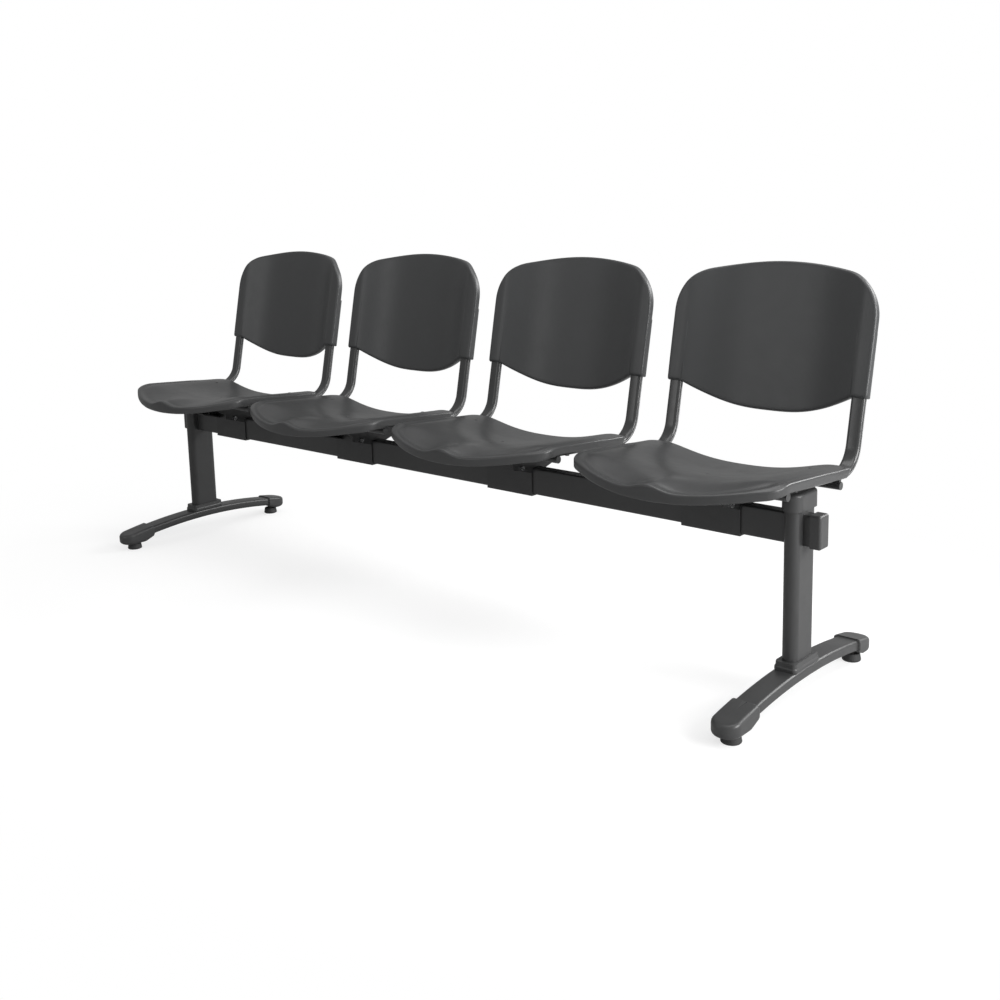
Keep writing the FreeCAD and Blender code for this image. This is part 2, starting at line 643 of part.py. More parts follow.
TILT = math.radians(size("seat_tilt"))
LEAN = math.radians(size("recline"))
RUN_BACK = Vector(0, math.cos(TILT), -math.sin(TILT))
RUN_UP = Vector(0, math.sin(TILT), math.cos(TILT))
LEAN_UP = Vector(0, math.sin(LEAN), math.cos(LEAN))
LEAN_BACK = Vector(0, math.cos(LEAN), -math.sin(LEAN))
HINGE = Vector(0, size("back_hinge"), size("back_level"))


def run_middle(y):
    """Height of the frame tube's centre line under the seat."""
    return size("run_level") - math.tan(TILT) * y


def run_edge(y, way):
    """Height of the frame tube's upper or lower face under the seat."""
    return run_middle(y) + way * size("oval_depth") / 2 / math.cos(TILT)


def oval_wire(width, depth):
    """A flat-sided oval in the XY plane, broad along X."""
    half = (width - depth) / 2
    r = depth / 2
    corners = [Vector(sx * half, sy * r, 0) for sx, sy in ((-1, -1), (1, -1), (1, 1), (-1, 1))]
    return Part.Wire([
        Part.LineSegment(corners[0], corners[1]).toShape(),
        Part.Arc(corners[1], Vector(half + r, 0, 0), corners[2]).toShape(),
        Part.LineSegment(corners[2], corners[3]).toShape(),
        Part.Arc(corners[3], Vector(-half - r, 0, 0), corners[0]).toShape()])


def bent_oval(width, depth):
    """The frame tube's path swept with a flat-sided oval, round x = 0."""
    turn = math.pi / 2 - LEAN + TILT
    radius = size("bend_radius")
    meet_y = ((size("back_hinge") - math.tan(LEAN) * (size("back_level") - size("run_level")))
              / (1 + math.tan(LEAN) * math.tan(TILT)))
    meet = Vector(0, meet_y, run_middle(meet_y))
    start = meet - RUN_BACK * (radius * math.tan(turn / 2))
    centre = start + RUN_UP * radius
    face = Part.Face(oval_wire(width, depth))
    face.rotate(Vector(), Vector(1, 0, 0), 90 - size("seat_tilt"))
    face.translate(start)
    run = face.extrude(-RUN_BACK * (start.y + size("run_front")) * (1 / math.cos(TILT)))
    bend = face.revolve(centre, Vector(1, 0, 0), math.degrees(turn))
    high = face.copy()
    high.rotate(centre, Vector(1, 0, 0), math.degrees(turn))
    top = HINGE + LEAN_UP * size("sleeve_depth")
    finish = meet + LEAN_UP * (radius * math.tan(turn / 2))
    rise = high.extrude(LEAN_UP * (top - finish).Length)
    return join([run, bend, rise])


def frame_tube_shape():
    wall = size("oval_wall")
    outside = bent_oval(size("oval_width"), size("oval_depth"))
    inside = bent_oval(size("oval_width") - 2 * wall, size("oval_depth") - 2 * wall)
    hole = size("screw_radius") + size("screw_gap")
    tall = 2 * size("oval_depth")
    holes = [cylinder(hole, Vector(0, y, run_middle(y) - tall / 2), Vector(0, 0, 1), tall)
             for y in (-size("boss_front"), size("boss_rear"))]
    holes.append(cylinder(hole, HINGE + LEAN_UP * size("back_screw"), LEAN_BACK, size("oval_depth")))
    return outside.cut([inside] + holes)


def make_frame_tubes():
    shape = frame_tube_shape()
    for seat in SEATS:
        for side_name, side in SIDES:
            label = f"frame_tube_{seat}_{side_name}"
            place = Vector(seat_middle(seat) + side * size("tube_half"), 0, 0)
            keep(label, feature(label + "_solid", shape, Placement(place, UPRIGHT)))


FRONT_ROD_LEVEL = ("(run_level + tan(seat_tilt) * rod_front - oval_depth / 2 / cos(seat_tilt)"
                   " - weld_gap - rod_radius)")
REAR_ROD_LEVEL = ("(run_level - tan(seat_tilt) * rod_rear - oval_depth / 2 / cos(seat_tilt)"
                  " - weld_gap - lug_height - rod_radius)")


def front_rod_level():
    return run_edge(-size("rod_front"), -1) - size("weld_gap") - size("rod_radius")


def rear_rod_level():
    return run_edge(size("rod_rear"), -1) - size("weld_gap") - size("lug_height") - size("rod_radius")


def make_cross_tubes(seat):
    """The two round tubes across a seat frame, the rear one with its welded lugs."""
    label = f"cross_tubes_{seat}"
    x = f"{seat - (len(SEATS) + 1) / 2} * seat_pitch"
    tubes = []
    for end, y, z in (("front", "-rod_front", FRONT_ROD_LEVEL), ("rear", "rod_rear", REAR_ROD_LEVEL)):
        solid = rod(f"{label}_{end}", "rod_radius", "2 * rod_half", x=f"{x} - rod_half", y=y, z=z,
                    turn=ALONG_X)
        bore = rod(f"{label}_{end}_bore", "rod_radius - rod_wall", "2 * rod_half + 2",
                   x=f"{x} - rod_half - 1", y=y, z=z, turn=ALONG_X)
        if end == "rear":
            lugs = [box(f"{label}_lug_{side_name}", "lug_length", "rod_radius", "lug_height + 2",
                        x=f"{x} + {side} * (rod_half - lug_length / 2)", y=y,
                        z=f"{z} + rod_radius - 2")
                    for side_name, side in SIDES]
            solid = fuse(f"{label}_lugged", solid, *lugs)
        tubes.append(cut(f"{label}_{end}_tube", solid, bore))
    return keep(label, fuse(label + "_pair", *tubes))


def make_plugs():
    """Moulded plugs: round ones in the cross tubes, oval ones in the frame tubes' front ends."""
    r = size("rod_radius")
    inner = r - size("rod_wall") - size("screw_gap")
    end = size("rod_half") + size("weld_gap")
    round_plugs = []
    for seat in SEATS:
        for _, side in SIDES:
            for y, z in ((-size("rod_front"), front_rod_level()), (size("rod_rear"), rear_rod_level())):
                at = Vector(seat_middle(seat) + side * end, y, z)
                out = Vector(side, 0, 0)
                round_plugs.append(join([cylinder(r, at, out, size("cap_flange")),
                                         cylinder(inner, at, -out, size("cap_depth"))]))
    keep("cross_tube_plugs", feature("cross_tube_plugs_solids", Part.makeCompound(round_plugs)))
    wall = size("oval_wall") + size("screw_gap")
    front = Vector(0, -size("run_front"), run_middle(-size("run_front")))
    cap = Part.Face(oval_wire(size("oval_width"), size("oval_depth"))).extrude(
        Vector(0, 0, size("cap_flange")))
    stem = Part.Face(oval_wire(size("oval_width") - 2 * wall, size("oval_depth") - 2 * wall)).extrude(
        Vector(0, 0, -size("cap_depth")))
    plug = join([cap, stem])
    plug.rotate(Vector(), Vector(1, 0, 0), 90 - size("seat_tilt"))
    plug.translate(front - RUN_BACK * size("weld_gap"))
    ovals = [plug.translated(Vector(seat_middle(seat) + side * size("tube_half"), 0, 0))
             for seat in SEATS for _, side in SIDES]
    keep("frame_tube_plugs", feature("frame_tube_plugs_solids", Part.makeCompound(ovals)))


# The brackets: a saddle over the beam whose arms carry the cross tubes, and a keeper plate.

def block(x_low, x_high, y_low, y_high, z_low, z_high):
    return Part.makeBox(x_high - x_low, y_high - y_low, z_high - z_low, Vector(x_low, y_low, z_low))


def arm_web(x_low):
    """One upright arm plate across the beam, notched for both cross tubes."""
    plate = size("plate")
    root = size("beam_top") - size("arm_root")
    side = size("beam_depth") / 2 + size("weld_gap") + plate
    reach = size("arm_reach")
    waist = size("beam_top") + size("arm_waist")
    front, front_z = -size("rod_front"), front_rod_level()
    rear, rear_z = size("rod_rear"), rear_rod_level()
    nose = size("arm_nose")
    lift = root + size("arm_lift")
    outline = [(-side, root), (-reach, lift), (-reach, lift + plate * 4), (front - nose, front_z - nose),
               (front - nose, front_z), (front + nose, front_z), (-reach / 2, waist), (reach / 2, waist),
               (rear - nose, rear_z), (rear + nose, rear_z), (rear + nose, rear_z - nose),
               (reach, lift), (side, root), (-side, root)]
    points = [Vector(x_low, y, z) for y, z in outline]
    web = Part.Face(Part.makePolygon(points)).extrude(Vector(plate, 0, 0))
    notch = size("rod_radius") + size("weld_gap")
    for y, z in ((front, front_z), (rear, rear_z)):
        web = web.cut(cylinder(notch, Vector(x_low - 1, y, z), Vector(1, 0, 0), plate + 2))
    return web


def arm_flange(x_low, x_high, way):
    """The inward flange along an arm's lower edge, before or behind the beam."""
    plate = size("plate")
    root = size("beam_top") - size("arm_root")
    side = size("beam_depth") / 2 + size("weld_gap") + plate / 2
    reach = size("arm_reach")
    corners = [(side, root), (reach, root + size("arm_lift")),
               (reach, root + size("arm_lift") + plate), (side, root + plate), (side, root)]
    points = [Vector(x_low, way * y, z) for y, z in corners]
    return Part.Face(Part.makePolygon(points)).extrude(Vector(x_high - x_low, 0, 0))


def bracket_shape():
    half = size("bracket_half")
    plate = size("plate")
    side = size("beam_depth") / 2 + size("weld_gap")
    top = size("beam_top") + size("weld_gap")
    low = size("beam_middle") - size("beam_height") / 2 - size("bracket_lap")
    saddle = block(-half, half, -side - plate, side + plate, low, top + plate)
    pieces = [saddle]
    for way in (-1, 1):
        inner = way * (half - plate)
        outer = way * half
        pieces.append(arm_web(min(inner, outer)))
        flange = way * (half - size("arm_flange"))
        for end in (-1, 1):
            pieces.append(arm_flange(min(flange, outer), max(flange, outer), end))
    whole = join(pieces)
    tools = [block(-half - 1, half + 1, -side, side, low - 1, top)]
    for way in (-1, 1):
        tools.append(cylinder(size("bolt_radius") + size("screw_gap"),
                              Vector(way * size("clamp_spread"), 0, size("beam_middle")),
                              Vector(0, 1, 0), 2 * side))
        tools.append(cylinder(size("bolt_radius") + size("screw_gap"),
                              Vector(way * (half - 2 * plate), -size("bolt_front"),
                                     size("beam_top") + size("bolt_lift")),
                              Vector(way, 0, 0), 3 * plate))
    return whole.cut(tools)


def keeper_shape():
    """The plate that closes the saddle under the beam, with one cut corner."""
    half = size("bracket_half")
    top = size("beam_middle") - size("beam_height") / 2 - size("weld_gap")
    side = size("beam_depth") / 2 - size("weld_gap")
    thick = size("bracket_lap") - 2 * size("weld_gap")
    left = size("keeper_inset") - half
    points = [Vector(left + thick, -side, top - thick), Vector(half, -side, top - thick),
              Vector(half, -side, top), Vector(left, -side, top), Vector(left + thick, -side, top - thick)]
    return Part.Face(Part.makePolygon(points)).extrude(Vector(0, 2 * side, 0))


def make_brackets():
    bracket = bracket_shape()
    keeper = keeper_shape()
    bolts = []
    clamps = []
    wall = size("bracket_half") + size("weld_gap")
    rear = size("beam_depth") / 2 + 2 * size("weld_gap") + size("plate")
    for seat in SEATS:
        place = Placement(Vector(seat_middle(seat), 0, 0), UPRIGHT)
        keep(f"beam_bracket_{seat}", feature(f"beam_bracket_{seat}_solid", bracket, place))
        keep(f"keeper_plate_{seat}", feature(f"keeper_plate_{seat}_solid", keeper, place))
        for way in (-1, 1):
            out = Vector(way, 0, 0)
            at = Vector(seat_middle(seat) + way * wall, -size("bolt_front"), size("beam_top") + size("bolt_lift"))
            bolts.append(bolt(at, out, size("bolt_tail")))
            at = Vector(seat_middle(seat) + way * size("clamp_spread"), rear, size("beam_middle"))
            clamps.append(bolt(at, Vector(0, 1, 0), size("bolt_tail")))
    keep("arm_bolts", feature("arm_bolts_solids", Part.makeCompound(bolts)))
    keep("clamp_bolts", feature("clamp_bolts_solids", Part.makeCompound(clamps)))


def bolt(at, out, tail):
    """A hexagon bolt whose head stands out from the face at this point."""
    return join([hexagon(size("bolt_head"), at, out, size("bolt_cap")),
                 cylinder(size("bolt_radius"), at, -out, tail)])


def make_leg_bolts():
    """Two bolts a leg, from behind through the column and the beam."""
    bolts = []
    surface = size("column_depth") / 2 + size("weld_gap")
    reach = surface + size("beam_depth") / 2
    for _, side in SIDES:
        for z in leg_bolt_levels():
            at = Vector(side * size("leg_span") / 2, surface, z)
            bolts.append(join([cylinder(size("leg_bolt_head"), at, Vector(0, 1, 0), size("leg_bolt_cap")),
                               cylinder(size("leg_bolt_radius"), at, Vector(0, -1, 0), reach)]))
    keep("leg_bolts", feature("leg_bolts_solids", Part.makeCompound(bolts)))


# The seat shells.

SWEEP = 12
HOLLOW = 3.5
DISH_SWEEP = 8
DISH_HOLLOW = 2.4
# Where the seat's shoulders begin to fall, as a part of the way to the front edge.
SHOULDER_START = 0.52
# Where the hollow reaches its front level and where it begins to fall, in front cross tube distances.
HOLLOW_END = 1.08
LIP_START = 1.4
# Where the front hump begins, where it is at its full height, and how wide it is.
HUMP_START = 1.06
HUMP_FULL = 0.9
HUMP_WIDTH = 0.155


def rise(t, hollow, sweep):
    """From 0 in the middle to 1 at a shoulder, level at both."""
    t = min(abs(t), 1.0)
    return (sweep * t ** hollow - hollow * t ** sweep) / (sweep - hollow)


def ease(t):
    """From 0 to 1, level at both ends."""
    t = min(max(t, 0.0), 1.0)
    return t * t * (3 - 2 * t)


def shoulder_level(y):
    """Height of the seat's top over the frame tubes."""
    level = run_edge(y, 1) + size("seat_clear") + size("seat_skin")
    start = size("seat_front") * SHOULDER_START
    fall = ease((-y - start) / (size("seat_front") - start - size("seat_corner") / 2))
    return level - size("seat_fall") * fall


def hollow_level(y):
    """Height of the seat's top along its middle, just clear of both cross tubes."""
    over = size("rod_radius") + size("seat_skin") + 2 * size("fit_gap")
    front = front_rod_level() + over
    rear = rear_rod_level() + over
    low_end = size("rod_rear") / 2
    level = rear + (front - rear) * ease((low_end - y) / (low_end + size("rod_front") * HOLLOW_END))
    start = size("rod_front") * LIP_START
    return level - size("seat_lip") * ease((-y - start) / (size("seat_front") - start))


def seat_level(x, y, hump=1):
    """Height of the seat's top; without the hump it is the line of the turned-down edge."""
    shoulder = size("tube_half") - size("oval_depth")
    low = hollow_level(y)
    level = low + (shoulder_level(y) - low) * rise(x / shoulder, DISH_HOLLOW, DISH_SWEEP)
    start = size("rod_front") * HUMP_START
    ramp = ease((-y - start) / (size("seat_front") * HUMP_FULL - start))
    width = size("seat_half") * HUMP_WIDTH
    return level + hump * size("seat_hump") * ramp * math.exp(-(x / width) ** 2)


def seat_outline(inset, rear):
    """The seat's outline from above, drawn in by an inset, closed at a rear edge."""
    half = size("seat_half") - inset
    front = size("seat_front") - inset
    bow = size("seat_bow") - inset
    corner = size("seat_corner") - inset / 2
    centre_y = bow - front
    # The corner arc touches the bowed front from inside and the straight side.
    cx = half - corner
    cy = centre_y - math.sqrt((bow - corner) ** 2 - cx ** 2)
    reach = bow / (bow - corner)
    touch = Vector(cx * reach, centre_y + (cy - centre_y) * reach, 0)
    mid = Vector(0, -front, 0)
    diagonal = math.radians(-45) + math.atan2(cy - centre_y, cx) / 2 + math.radians(45)
    knee = Vector(cx + corner * math.cos(diagonal), cy + corner * math.sin(diagonal), 0)
    mirror = [Vector(-v.x, v.y, 0) for v in (touch, knee, Vector(half, cy, 0))]
    heel = size("seat_heel")
    soft = heel * (1 - math.sqrt(0.5))
    edges = [
        Part.Arc(mirror[0], mid, touch).toShape(),
        Part.Arc(touch, knee, Vector(half, cy, 0)).toShape(),
        Part.LineSegment(Vector(half, cy, 0), Vector(half, rear - heel, 0)).toShape(),
        Part.Arc(Vector(half, rear - heel, 0), Vector(half - soft, rear - soft, 0),
                 Vector(half - heel, rear, 0)).toShape(),
        Part.LineSegment(Vector(half - heel, rear, 0), Vector(heel - half, rear, 0)).toShape(),
        Part.Arc(Vector(heel - half, rear, 0), Vector(soft - half, rear - soft, 0),
                 Vector(-half, rear - heel, 0)).toShape(),
        Part.LineSegment(Vector(-half, rear - heel, 0), Vector(-half, cy, 0)).toShape(),
        Part.Arc(mirror[2], mirror[1], mirror[0]).toShape()]
    return Part.Wire(edges)


def tall(wire):
    """A prism over an outline, far above and below the seat."""
    high = 2 * size("run_level")
    return Part.Face(wire).extrude(Vector(0, 0, high))


def seat_surface(hump=1):
    """The seat's top as one smooth face, a little larger than the seat."""
    columns = 28
    rows = 22
    wide = size("seat_half") + 2 * size("seat_flange")
    front = -size("seat_front") - 2 * size("seat_flange")
    depth = size("seat_rear") + 2 * size("seat_flange") - front
    grid = [[Vector(x, y, seat_level(x, y, hump))
             for y in (front + depth * j / rows for j in range(rows + 1))]
            for x in (wide * (2 * i / columns - 1) for i in range(columns + 1))]
    surface = Part.BSplineSurface()
    surface.interpolate(grid)
    return surface.toShape()


def seat_screw_places():
    """Local places of one seat's screws: x, y and the boss's lower face."""
    places = []
    for way in (-1, 1):
        for y in (-size("boss_front"), size("boss_rear")):
            low = run_edge(y - size("boss_radius"), 1) + size("weld_gap")
            places.append((way * size("tube_half"), y, low))
    return places


def seat_shape():
    face = seat_surface()
    full = face.extrude(Vector(0, 0, -size("flange_drop") - 2 * size("seat_hump")))
    lower = seat_surface(0).translated(Vector(0, 0, -size("flange_drop")))
    below = lower.extrude(Vector(0, 0, -4 * size("flange_drop")))
    deep = face.translated(Vector(0, 0, -size("seat_skin"))).extrude(Vector(0, 0, -4 * size("flange_drop")))
    outer = tall(seat_outline(0, size("seat_rear")))
    inner = tall(seat_outline(size("seat_flange"), size("seat_rear") + 3 * size("seat_heel")))
    shell = full.common(outer).cut([deep.common(inner), below])
    bosses = []
    holes = []
    up = Vector(0, 0, 1)
    for x, y, low in seat_screw_places():
        high = size("seat_clear") + size("seat_skin") / 2
        bosses.append(cylinder(size("boss_radius"), Vector(x, y, low), up, high))
        holes.append(cylinder(size("screw_radius") + size("screw_gap"), Vector(x, y, low - 1), up,
                              size("screw_bite") + 1 + size("screw_gap")))
    return shell.fuse(bosses).cut(holes)


def make_seats():
    shape = seat_shape()
    screws = []
    lift = size("screw_head") * math.tan(TILT)
    for seat in SEATS:
        place = Vector(seat_middle(seat), 0, 0)
        keep(f"seat_shell_{seat}", feature(f"seat_shell_{seat}_solid", shape, Placement(place, UPRIGHT)))
        for x, y, low in seat_screw_places():
            under = run_edge(y, -1) - lift - size("weld_gap")
            at = place + Vector(x, y, under)
            screws.append(screw(at, Vector(0, 0, -1), low + size("screw_bite") - under))
    keep("seat_screws", feature("seat_screws_solids", Part.makeCompound(screws)))


def screw(at, out, length):
    return join([cylinder(size("screw_head"), at, out, size("screw_cap")),
                 cylinder(size("screw_radius"), at, -out, length)])


# The backs, drawn upright in their own frame: X across, Y to the rear, Z up the lean.
# Their origin is the middle between both frame tubes at the back's lower corners.

BACK_TURN = Rotation(Vector(1, 0, 0), -size("recline"))


# Poles of the back's lower edge: parts of its half width and of its drop.
BACK_EDGE = ((0.8, -0.38), (0.42, -1.02), (0, -1.02))


def sleeve_half():
    return size("oval_depth") / 2 + size("fit_gap") + size("sleeve_wall")


def back_front(x):
    """Place of the back's front face behind the frame tubes' plane."""
    flat = size("tube_half") - size("oval_depth") / 4
    return size("back_sag") * (1 - rise(x / flat, HOLLOW, SWEEP)) - sleeve_half()


def back_slab(near, far, low, high):
    """What lies between two depths behind the back's front face, over a height."""
    steps = 36
    wide = size("back_half") + 2 * size("sleeve_wall")
    line = [wide * (2 * i / steps - 1) for i in range(steps + 1)]
    edges = []
    for depth in (near, far):
        curve = Part.BSplineCurve()
        curve.interpolate([Vector(x, back_front(x) + depth, low) for x in line])
        edges.append(curve.toShape())
    ends = [Part.LineSegment(Vector(x, back_front(x) + near, low),
                             Vector(x, back_front(x) + far, low)).toShape() for x in (-wide, wide)]
    return Part.Face(Part.Wire([edges[0], ends[1], edges[1], ends[0]])).extrude(Vector(0, 0, high - low))


def back_outline(inset):
    """The back's outline seen square to its front, drawn in by an inset."""
    half = size("back_half") - inset
    top = size("back_rise") - inset
    shoulder = size("back_shoulder") - inset
    bow = size("back_bow") - inset
    bow_z = top - bow
    cx = half - shoulder
    cz = bow_z + math.sqrt((bow - shoulder) ** 2 - cx ** 2)
    reach = bow / (bow - shoulder)
    touch = Vector(cx * reach, 0, bow_z + (cz - bow_z) * reach)
    middle = (math.atan2(touch.z - cz, touch.x - cx)) / 2
    knee = Vector(cx + shoulder * math.cos(middle), 0, cz + shoulder * math.sin(middle))
    foot = size("back_half") - size("back_foot")
    drop = size("back_drop") - inset
    poles = [(foot, inset)] + [(foot * u, drop * v) for u, v in BACK_EDGE]
    curve = Part.BSplineCurve()
    spine = [Vector(x, 0, z) for x, z in poles] + [Vector(-x, 0, z) for x, z in reversed(poles[:-1])]
    curve.buildFromPoles(spine, False, 3)

    def flip(v):
        return Vector(-v.x, 0, v.z)

    heel = Vector(half, 0, inset)
    side = Vector(half, 0, cz)
    toe = Vector(foot, 0, inset)
    return Part.Wire([
        curve.toShape(),
        Part.LineSegment(flip(toe), flip(heel)).toShape(),
        Part.LineSegment(flip(heel), flip(side)).toShape(),
        Part.Arc(flip(side), flip(knee), flip(touch)).toShape(),
        Part.Arc(flip(touch), Vector(0, 0, top), touch).toShape(),
        Part.Arc(touch, knee, side).toShape(),
        Part.LineSegment(side, heel).toShape(),
        Part.LineSegment(heel, toe).toShape()])


def through(wire):
    """A prism along Y over an outline, through the whole depth of the back."""
    depth = 4 * size("back_sag")
    return Part.Face(wire).extrude(Vector(0, depth, 0)).translated(Vector(0, -depth / 2, 0))


def tube_cavity(way, grow):
    """The room of one frame tube in the back, grown by a clearance or a wall."""
    wire = oval_wire(size("oval_width") + 2 * grow, size("oval_depth") + 2 * grow)
    length = size("sleeve_depth") + grow
    below = size("back_drop")
    room = Part.Face(wire).extrude(Vector(0, 0, length + below))
    return room.translated(Vector(way * size("tube_half"), 0, -below))


def back_shape():
    low = -2 * size("back_drop")
    high = 2 * size("back_rise")
    outer = through(back_outline(0))
    inner = through(back_outline(size("rim_wall")))
    skin = back_slab(0, size("back_rim"), low, high).common(outer)
    room = back_slab(size("back_skin"), 2 * size("back_rim"), low, high).common(inner)
    shell = skin.cut(room)
    sleeves = []
    cavities = []
    holes = []
    deep = sleeve_half()
    for way in (-1, 1):
        near = way * (size("tube_half") - size("oval_width") / 2 - size("fit_gap") - size("sleeve_wall"))
        far = way * (size("back_half") - size("rim_wall") / 2)
        sleeves.append(block(min(near, far), max(near, far), size("back_skin") / 2 - deep, deep, 0,
                             size("sleeve_depth") + size("sleeve_wall")))
        cavities.append(tube_cavity(way, size("fit_gap")))
        at = Vector(way * size("tube_half"), 0, size("back_screw"))
        holes.append(cylinder(size("screw_radius") + size("screw_gap"), at, Vector(0, 1, 0), 2 * deep))
    return shell.fuse(sleeves).cut(cavities + holes)


def make_backs():
    shape = back_shape()
    screws = []
    for seat in SEATS:
        middle = Vector(seat_middle(seat), size("back_hinge"), size("back_level"))
        keep(f"back_shell_{seat}", feature(f"back_shell_{seat}_solid", shape, Placement(middle, BACK_TURN)))
        for way in (-1, 1):
            at = (middle + Vector(way * size("tube_half"), 0, 0) + LEAN_UP * size("back_screw")
                  + LEAN_BACK * (sleeve_half() + size("weld_gap")))
            screws.append(screw(at, LEAN_BACK, sleeve_half() - size("oval_depth") / 4))
    keep("back_screws", feature("back_screws_solids", Part.makeCompound(screws)))


def check_and_write():
    """Stop on any failed object, then write each sub-part to its own file."""
    doc.recompute()
    for thing in doc.Objects:
        if "Invalid" in thing.State or "Error" in thing.State:
            raise ValueError(f"{thing.Name} failed: {thing.State}")
    os.makedirs("parts", exist_ok=True)
    for thing in parts:
        shape = thing.Shape
        if shape.isNull() or not shape.isValid() or not shape.Solids:
            raise ValueError(thing.Label + " has no valid solid")
        shape.exportStep(f"parts/{thing.Label}.step")
        box_of = shape.BoundBox
        print(thing.Label, len(shape.Solids), round(shape.Volume),
              [round(v, 1) for v in (box_of.XMin, box_of.YMin, box_of.ZMin,
                                     box_of.XMax, box_of.YMax, box_of.ZMax)])


make_beam()
for side_name, side in SIDES:
    make_shoe(f"beam_end_cap_{side_name}", side)
    make_column(f"column_{side_name}", side)
    make_head(f"column_head_{side_name}", side)
    make_collar(f"foot_collar_{side_name}", side)
    make_foot(f"foot_bar_{side_name}", side)
    for end, way in ENDS:
        make_toe(f"toe_cap_{side_name}_{end}", side, end, way)
make_glides()
make_leg_bolts()
make_frame_tubes()
for seat in SEATS:
    make_cross_tubes(seat)
make_plugs()
make_brackets()
make_seats()
make_backs()
check_and_write()
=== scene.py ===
import bmesh
import bpy
import json
import math
import numpy as np
from mathutils import Matrix, Vector


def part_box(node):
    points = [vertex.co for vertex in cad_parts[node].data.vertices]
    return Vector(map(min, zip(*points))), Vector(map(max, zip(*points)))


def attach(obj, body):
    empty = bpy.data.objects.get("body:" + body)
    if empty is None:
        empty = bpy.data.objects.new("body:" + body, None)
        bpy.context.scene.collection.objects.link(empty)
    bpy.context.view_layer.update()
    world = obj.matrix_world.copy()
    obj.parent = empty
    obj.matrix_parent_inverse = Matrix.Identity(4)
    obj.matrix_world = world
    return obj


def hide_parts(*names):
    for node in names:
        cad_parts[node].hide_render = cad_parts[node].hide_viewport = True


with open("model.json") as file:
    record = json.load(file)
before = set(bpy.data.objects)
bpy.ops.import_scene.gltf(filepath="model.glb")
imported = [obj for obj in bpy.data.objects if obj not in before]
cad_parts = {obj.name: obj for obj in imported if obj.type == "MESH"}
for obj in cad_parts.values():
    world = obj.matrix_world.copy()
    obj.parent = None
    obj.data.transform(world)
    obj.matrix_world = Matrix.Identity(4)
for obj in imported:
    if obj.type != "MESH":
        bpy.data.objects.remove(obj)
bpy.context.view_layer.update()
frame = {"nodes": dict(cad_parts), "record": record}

BENCH = "bench"
SIDES = (("left", -1), ("right", 1))
ENDS = (("front", -1), ("rear", 1))

# The seats' places, read from the frame.
SEATS = sorted(int(name.rsplit("_", 1)[1]) for name in frame["nodes"] if name.startswith("seat_shell_"))


def middle(node):
    """The middle of a CAD node's box."""
    low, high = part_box(node)
    return (Vector(low) + Vector(high)) / 2


SEAT_X = {seat: middle(f"back_shell_{seat}").x for seat in SEATS}
LEG_X = {side_name: middle(f"column_{side_name}").x for side_name, _ in SIDES}

MM = 0.001


# The camera, as the photograph was taken.

FOCAL_PIXELS = 1184.0
IMAGE_PIXELS = 1000.0
AXIS_HEIGHT_PIXELS = 396.7
SENSOR_MM = 36.0
CAMERA_YAW = math.radians(41.77)
CAMERA_PITCH = math.radians(9.63)
CAMERA_ROLL = math.radians(-1.38)
CAMERA_PLACE = Vector((1.9871, -1.9731, 0.9657))


def make_camera():
    """The scene's camera, its place and aim worked out from the named angles."""
    look = Vector((-math.sin(CAMERA_YAW) * math.cos(CAMERA_PITCH),
                   math.cos(CAMERA_YAW) * math.cos(CAMERA_PITCH), -math.sin(CAMERA_PITCH)))
    right = look.cross(Vector((0, 0, 1))).normalized()
    up = right.cross(look)
    turned_right = right * math.cos(CAMERA_ROLL) + up * math.sin(CAMERA_ROLL)
    turned_up = up * math.cos(CAMERA_ROLL) - right * math.sin(CAMERA_ROLL)
    data = bpy.data.cameras.new("camera")
    data.sensor_width = SENSOR_MM
    data.sensor_fit = "HORIZONTAL"
    data.lens = FOCAL_PIXELS * SENSOR_MM / IMAGE_PIXELS
    data.shift_y = (AXIS_HEIGHT_PIXELS - IMAGE_PIXELS / 2) / IMAGE_PIXELS
    data.clip_end = 50
    camera = bpy.data.objects.new("camera", data)
    bpy.context.collection.objects.link(camera)
    turn = Matrix((turned_right, turned_up, -look)).transposed().to_4x4()
    camera.matrix_world = Matrix.Translation(CAMERA_PLACE) @ turn
    bpy.context.scene.camera = camera


make_camera()


# Materials.

RAMP_START = 0.3
RAMP_END = 0.7
# Cycles of the smudges in the gloss for each cycle of the patches in the colour.
SMUDGES = 2.7
GRAIN_STRENGTH = 0.6


def node_tree(name):
    material = bpy.data.materials.new(name)
    material.use_nodes = True
    tree = material.node_tree
    return material, tree, tree.nodes["Principled BSDF"]


def link(tree, pairs):
    """Links from the outputs to the inputs of each pair."""
    for source, target in pairs:
        tree.links.new(source, target)


def noise(tree, scale, detail):
    """A noise in the object's own coordinates, with a scale in cycles per metre."""
    place = tree.nodes.new("ShaderNodeTexCoord")
    texture = tree.nodes.new("ShaderNodeTexNoise")
    texture.inputs["Scale"].default_value = scale
    texture.inputs["Detail"].default_value = detail
    tree.links.new(place.outputs["Object"], texture.inputs["Vector"])
    return texture


def ramp(tree, source, low, high):
    """Colours or greys spread over the middle of a noise's values."""
    spread = tree.nodes.new("ShaderNodeValToRGB")
    spread.color_ramp.elements[0].position = RAMP_START
    spread.color_ramp.elements[1].position = RAMP_END
    spread.color_ramp.elements[0].color = low
    spread.color_ramp.elements[1].color = high
    tree.links.new(source.outputs[0], spread.inputs["Fac"])
    return spread


def shade(grey, tint=0.0):
    return (grey * (1 - tint), grey, grey * (1 + tint), 1.0)


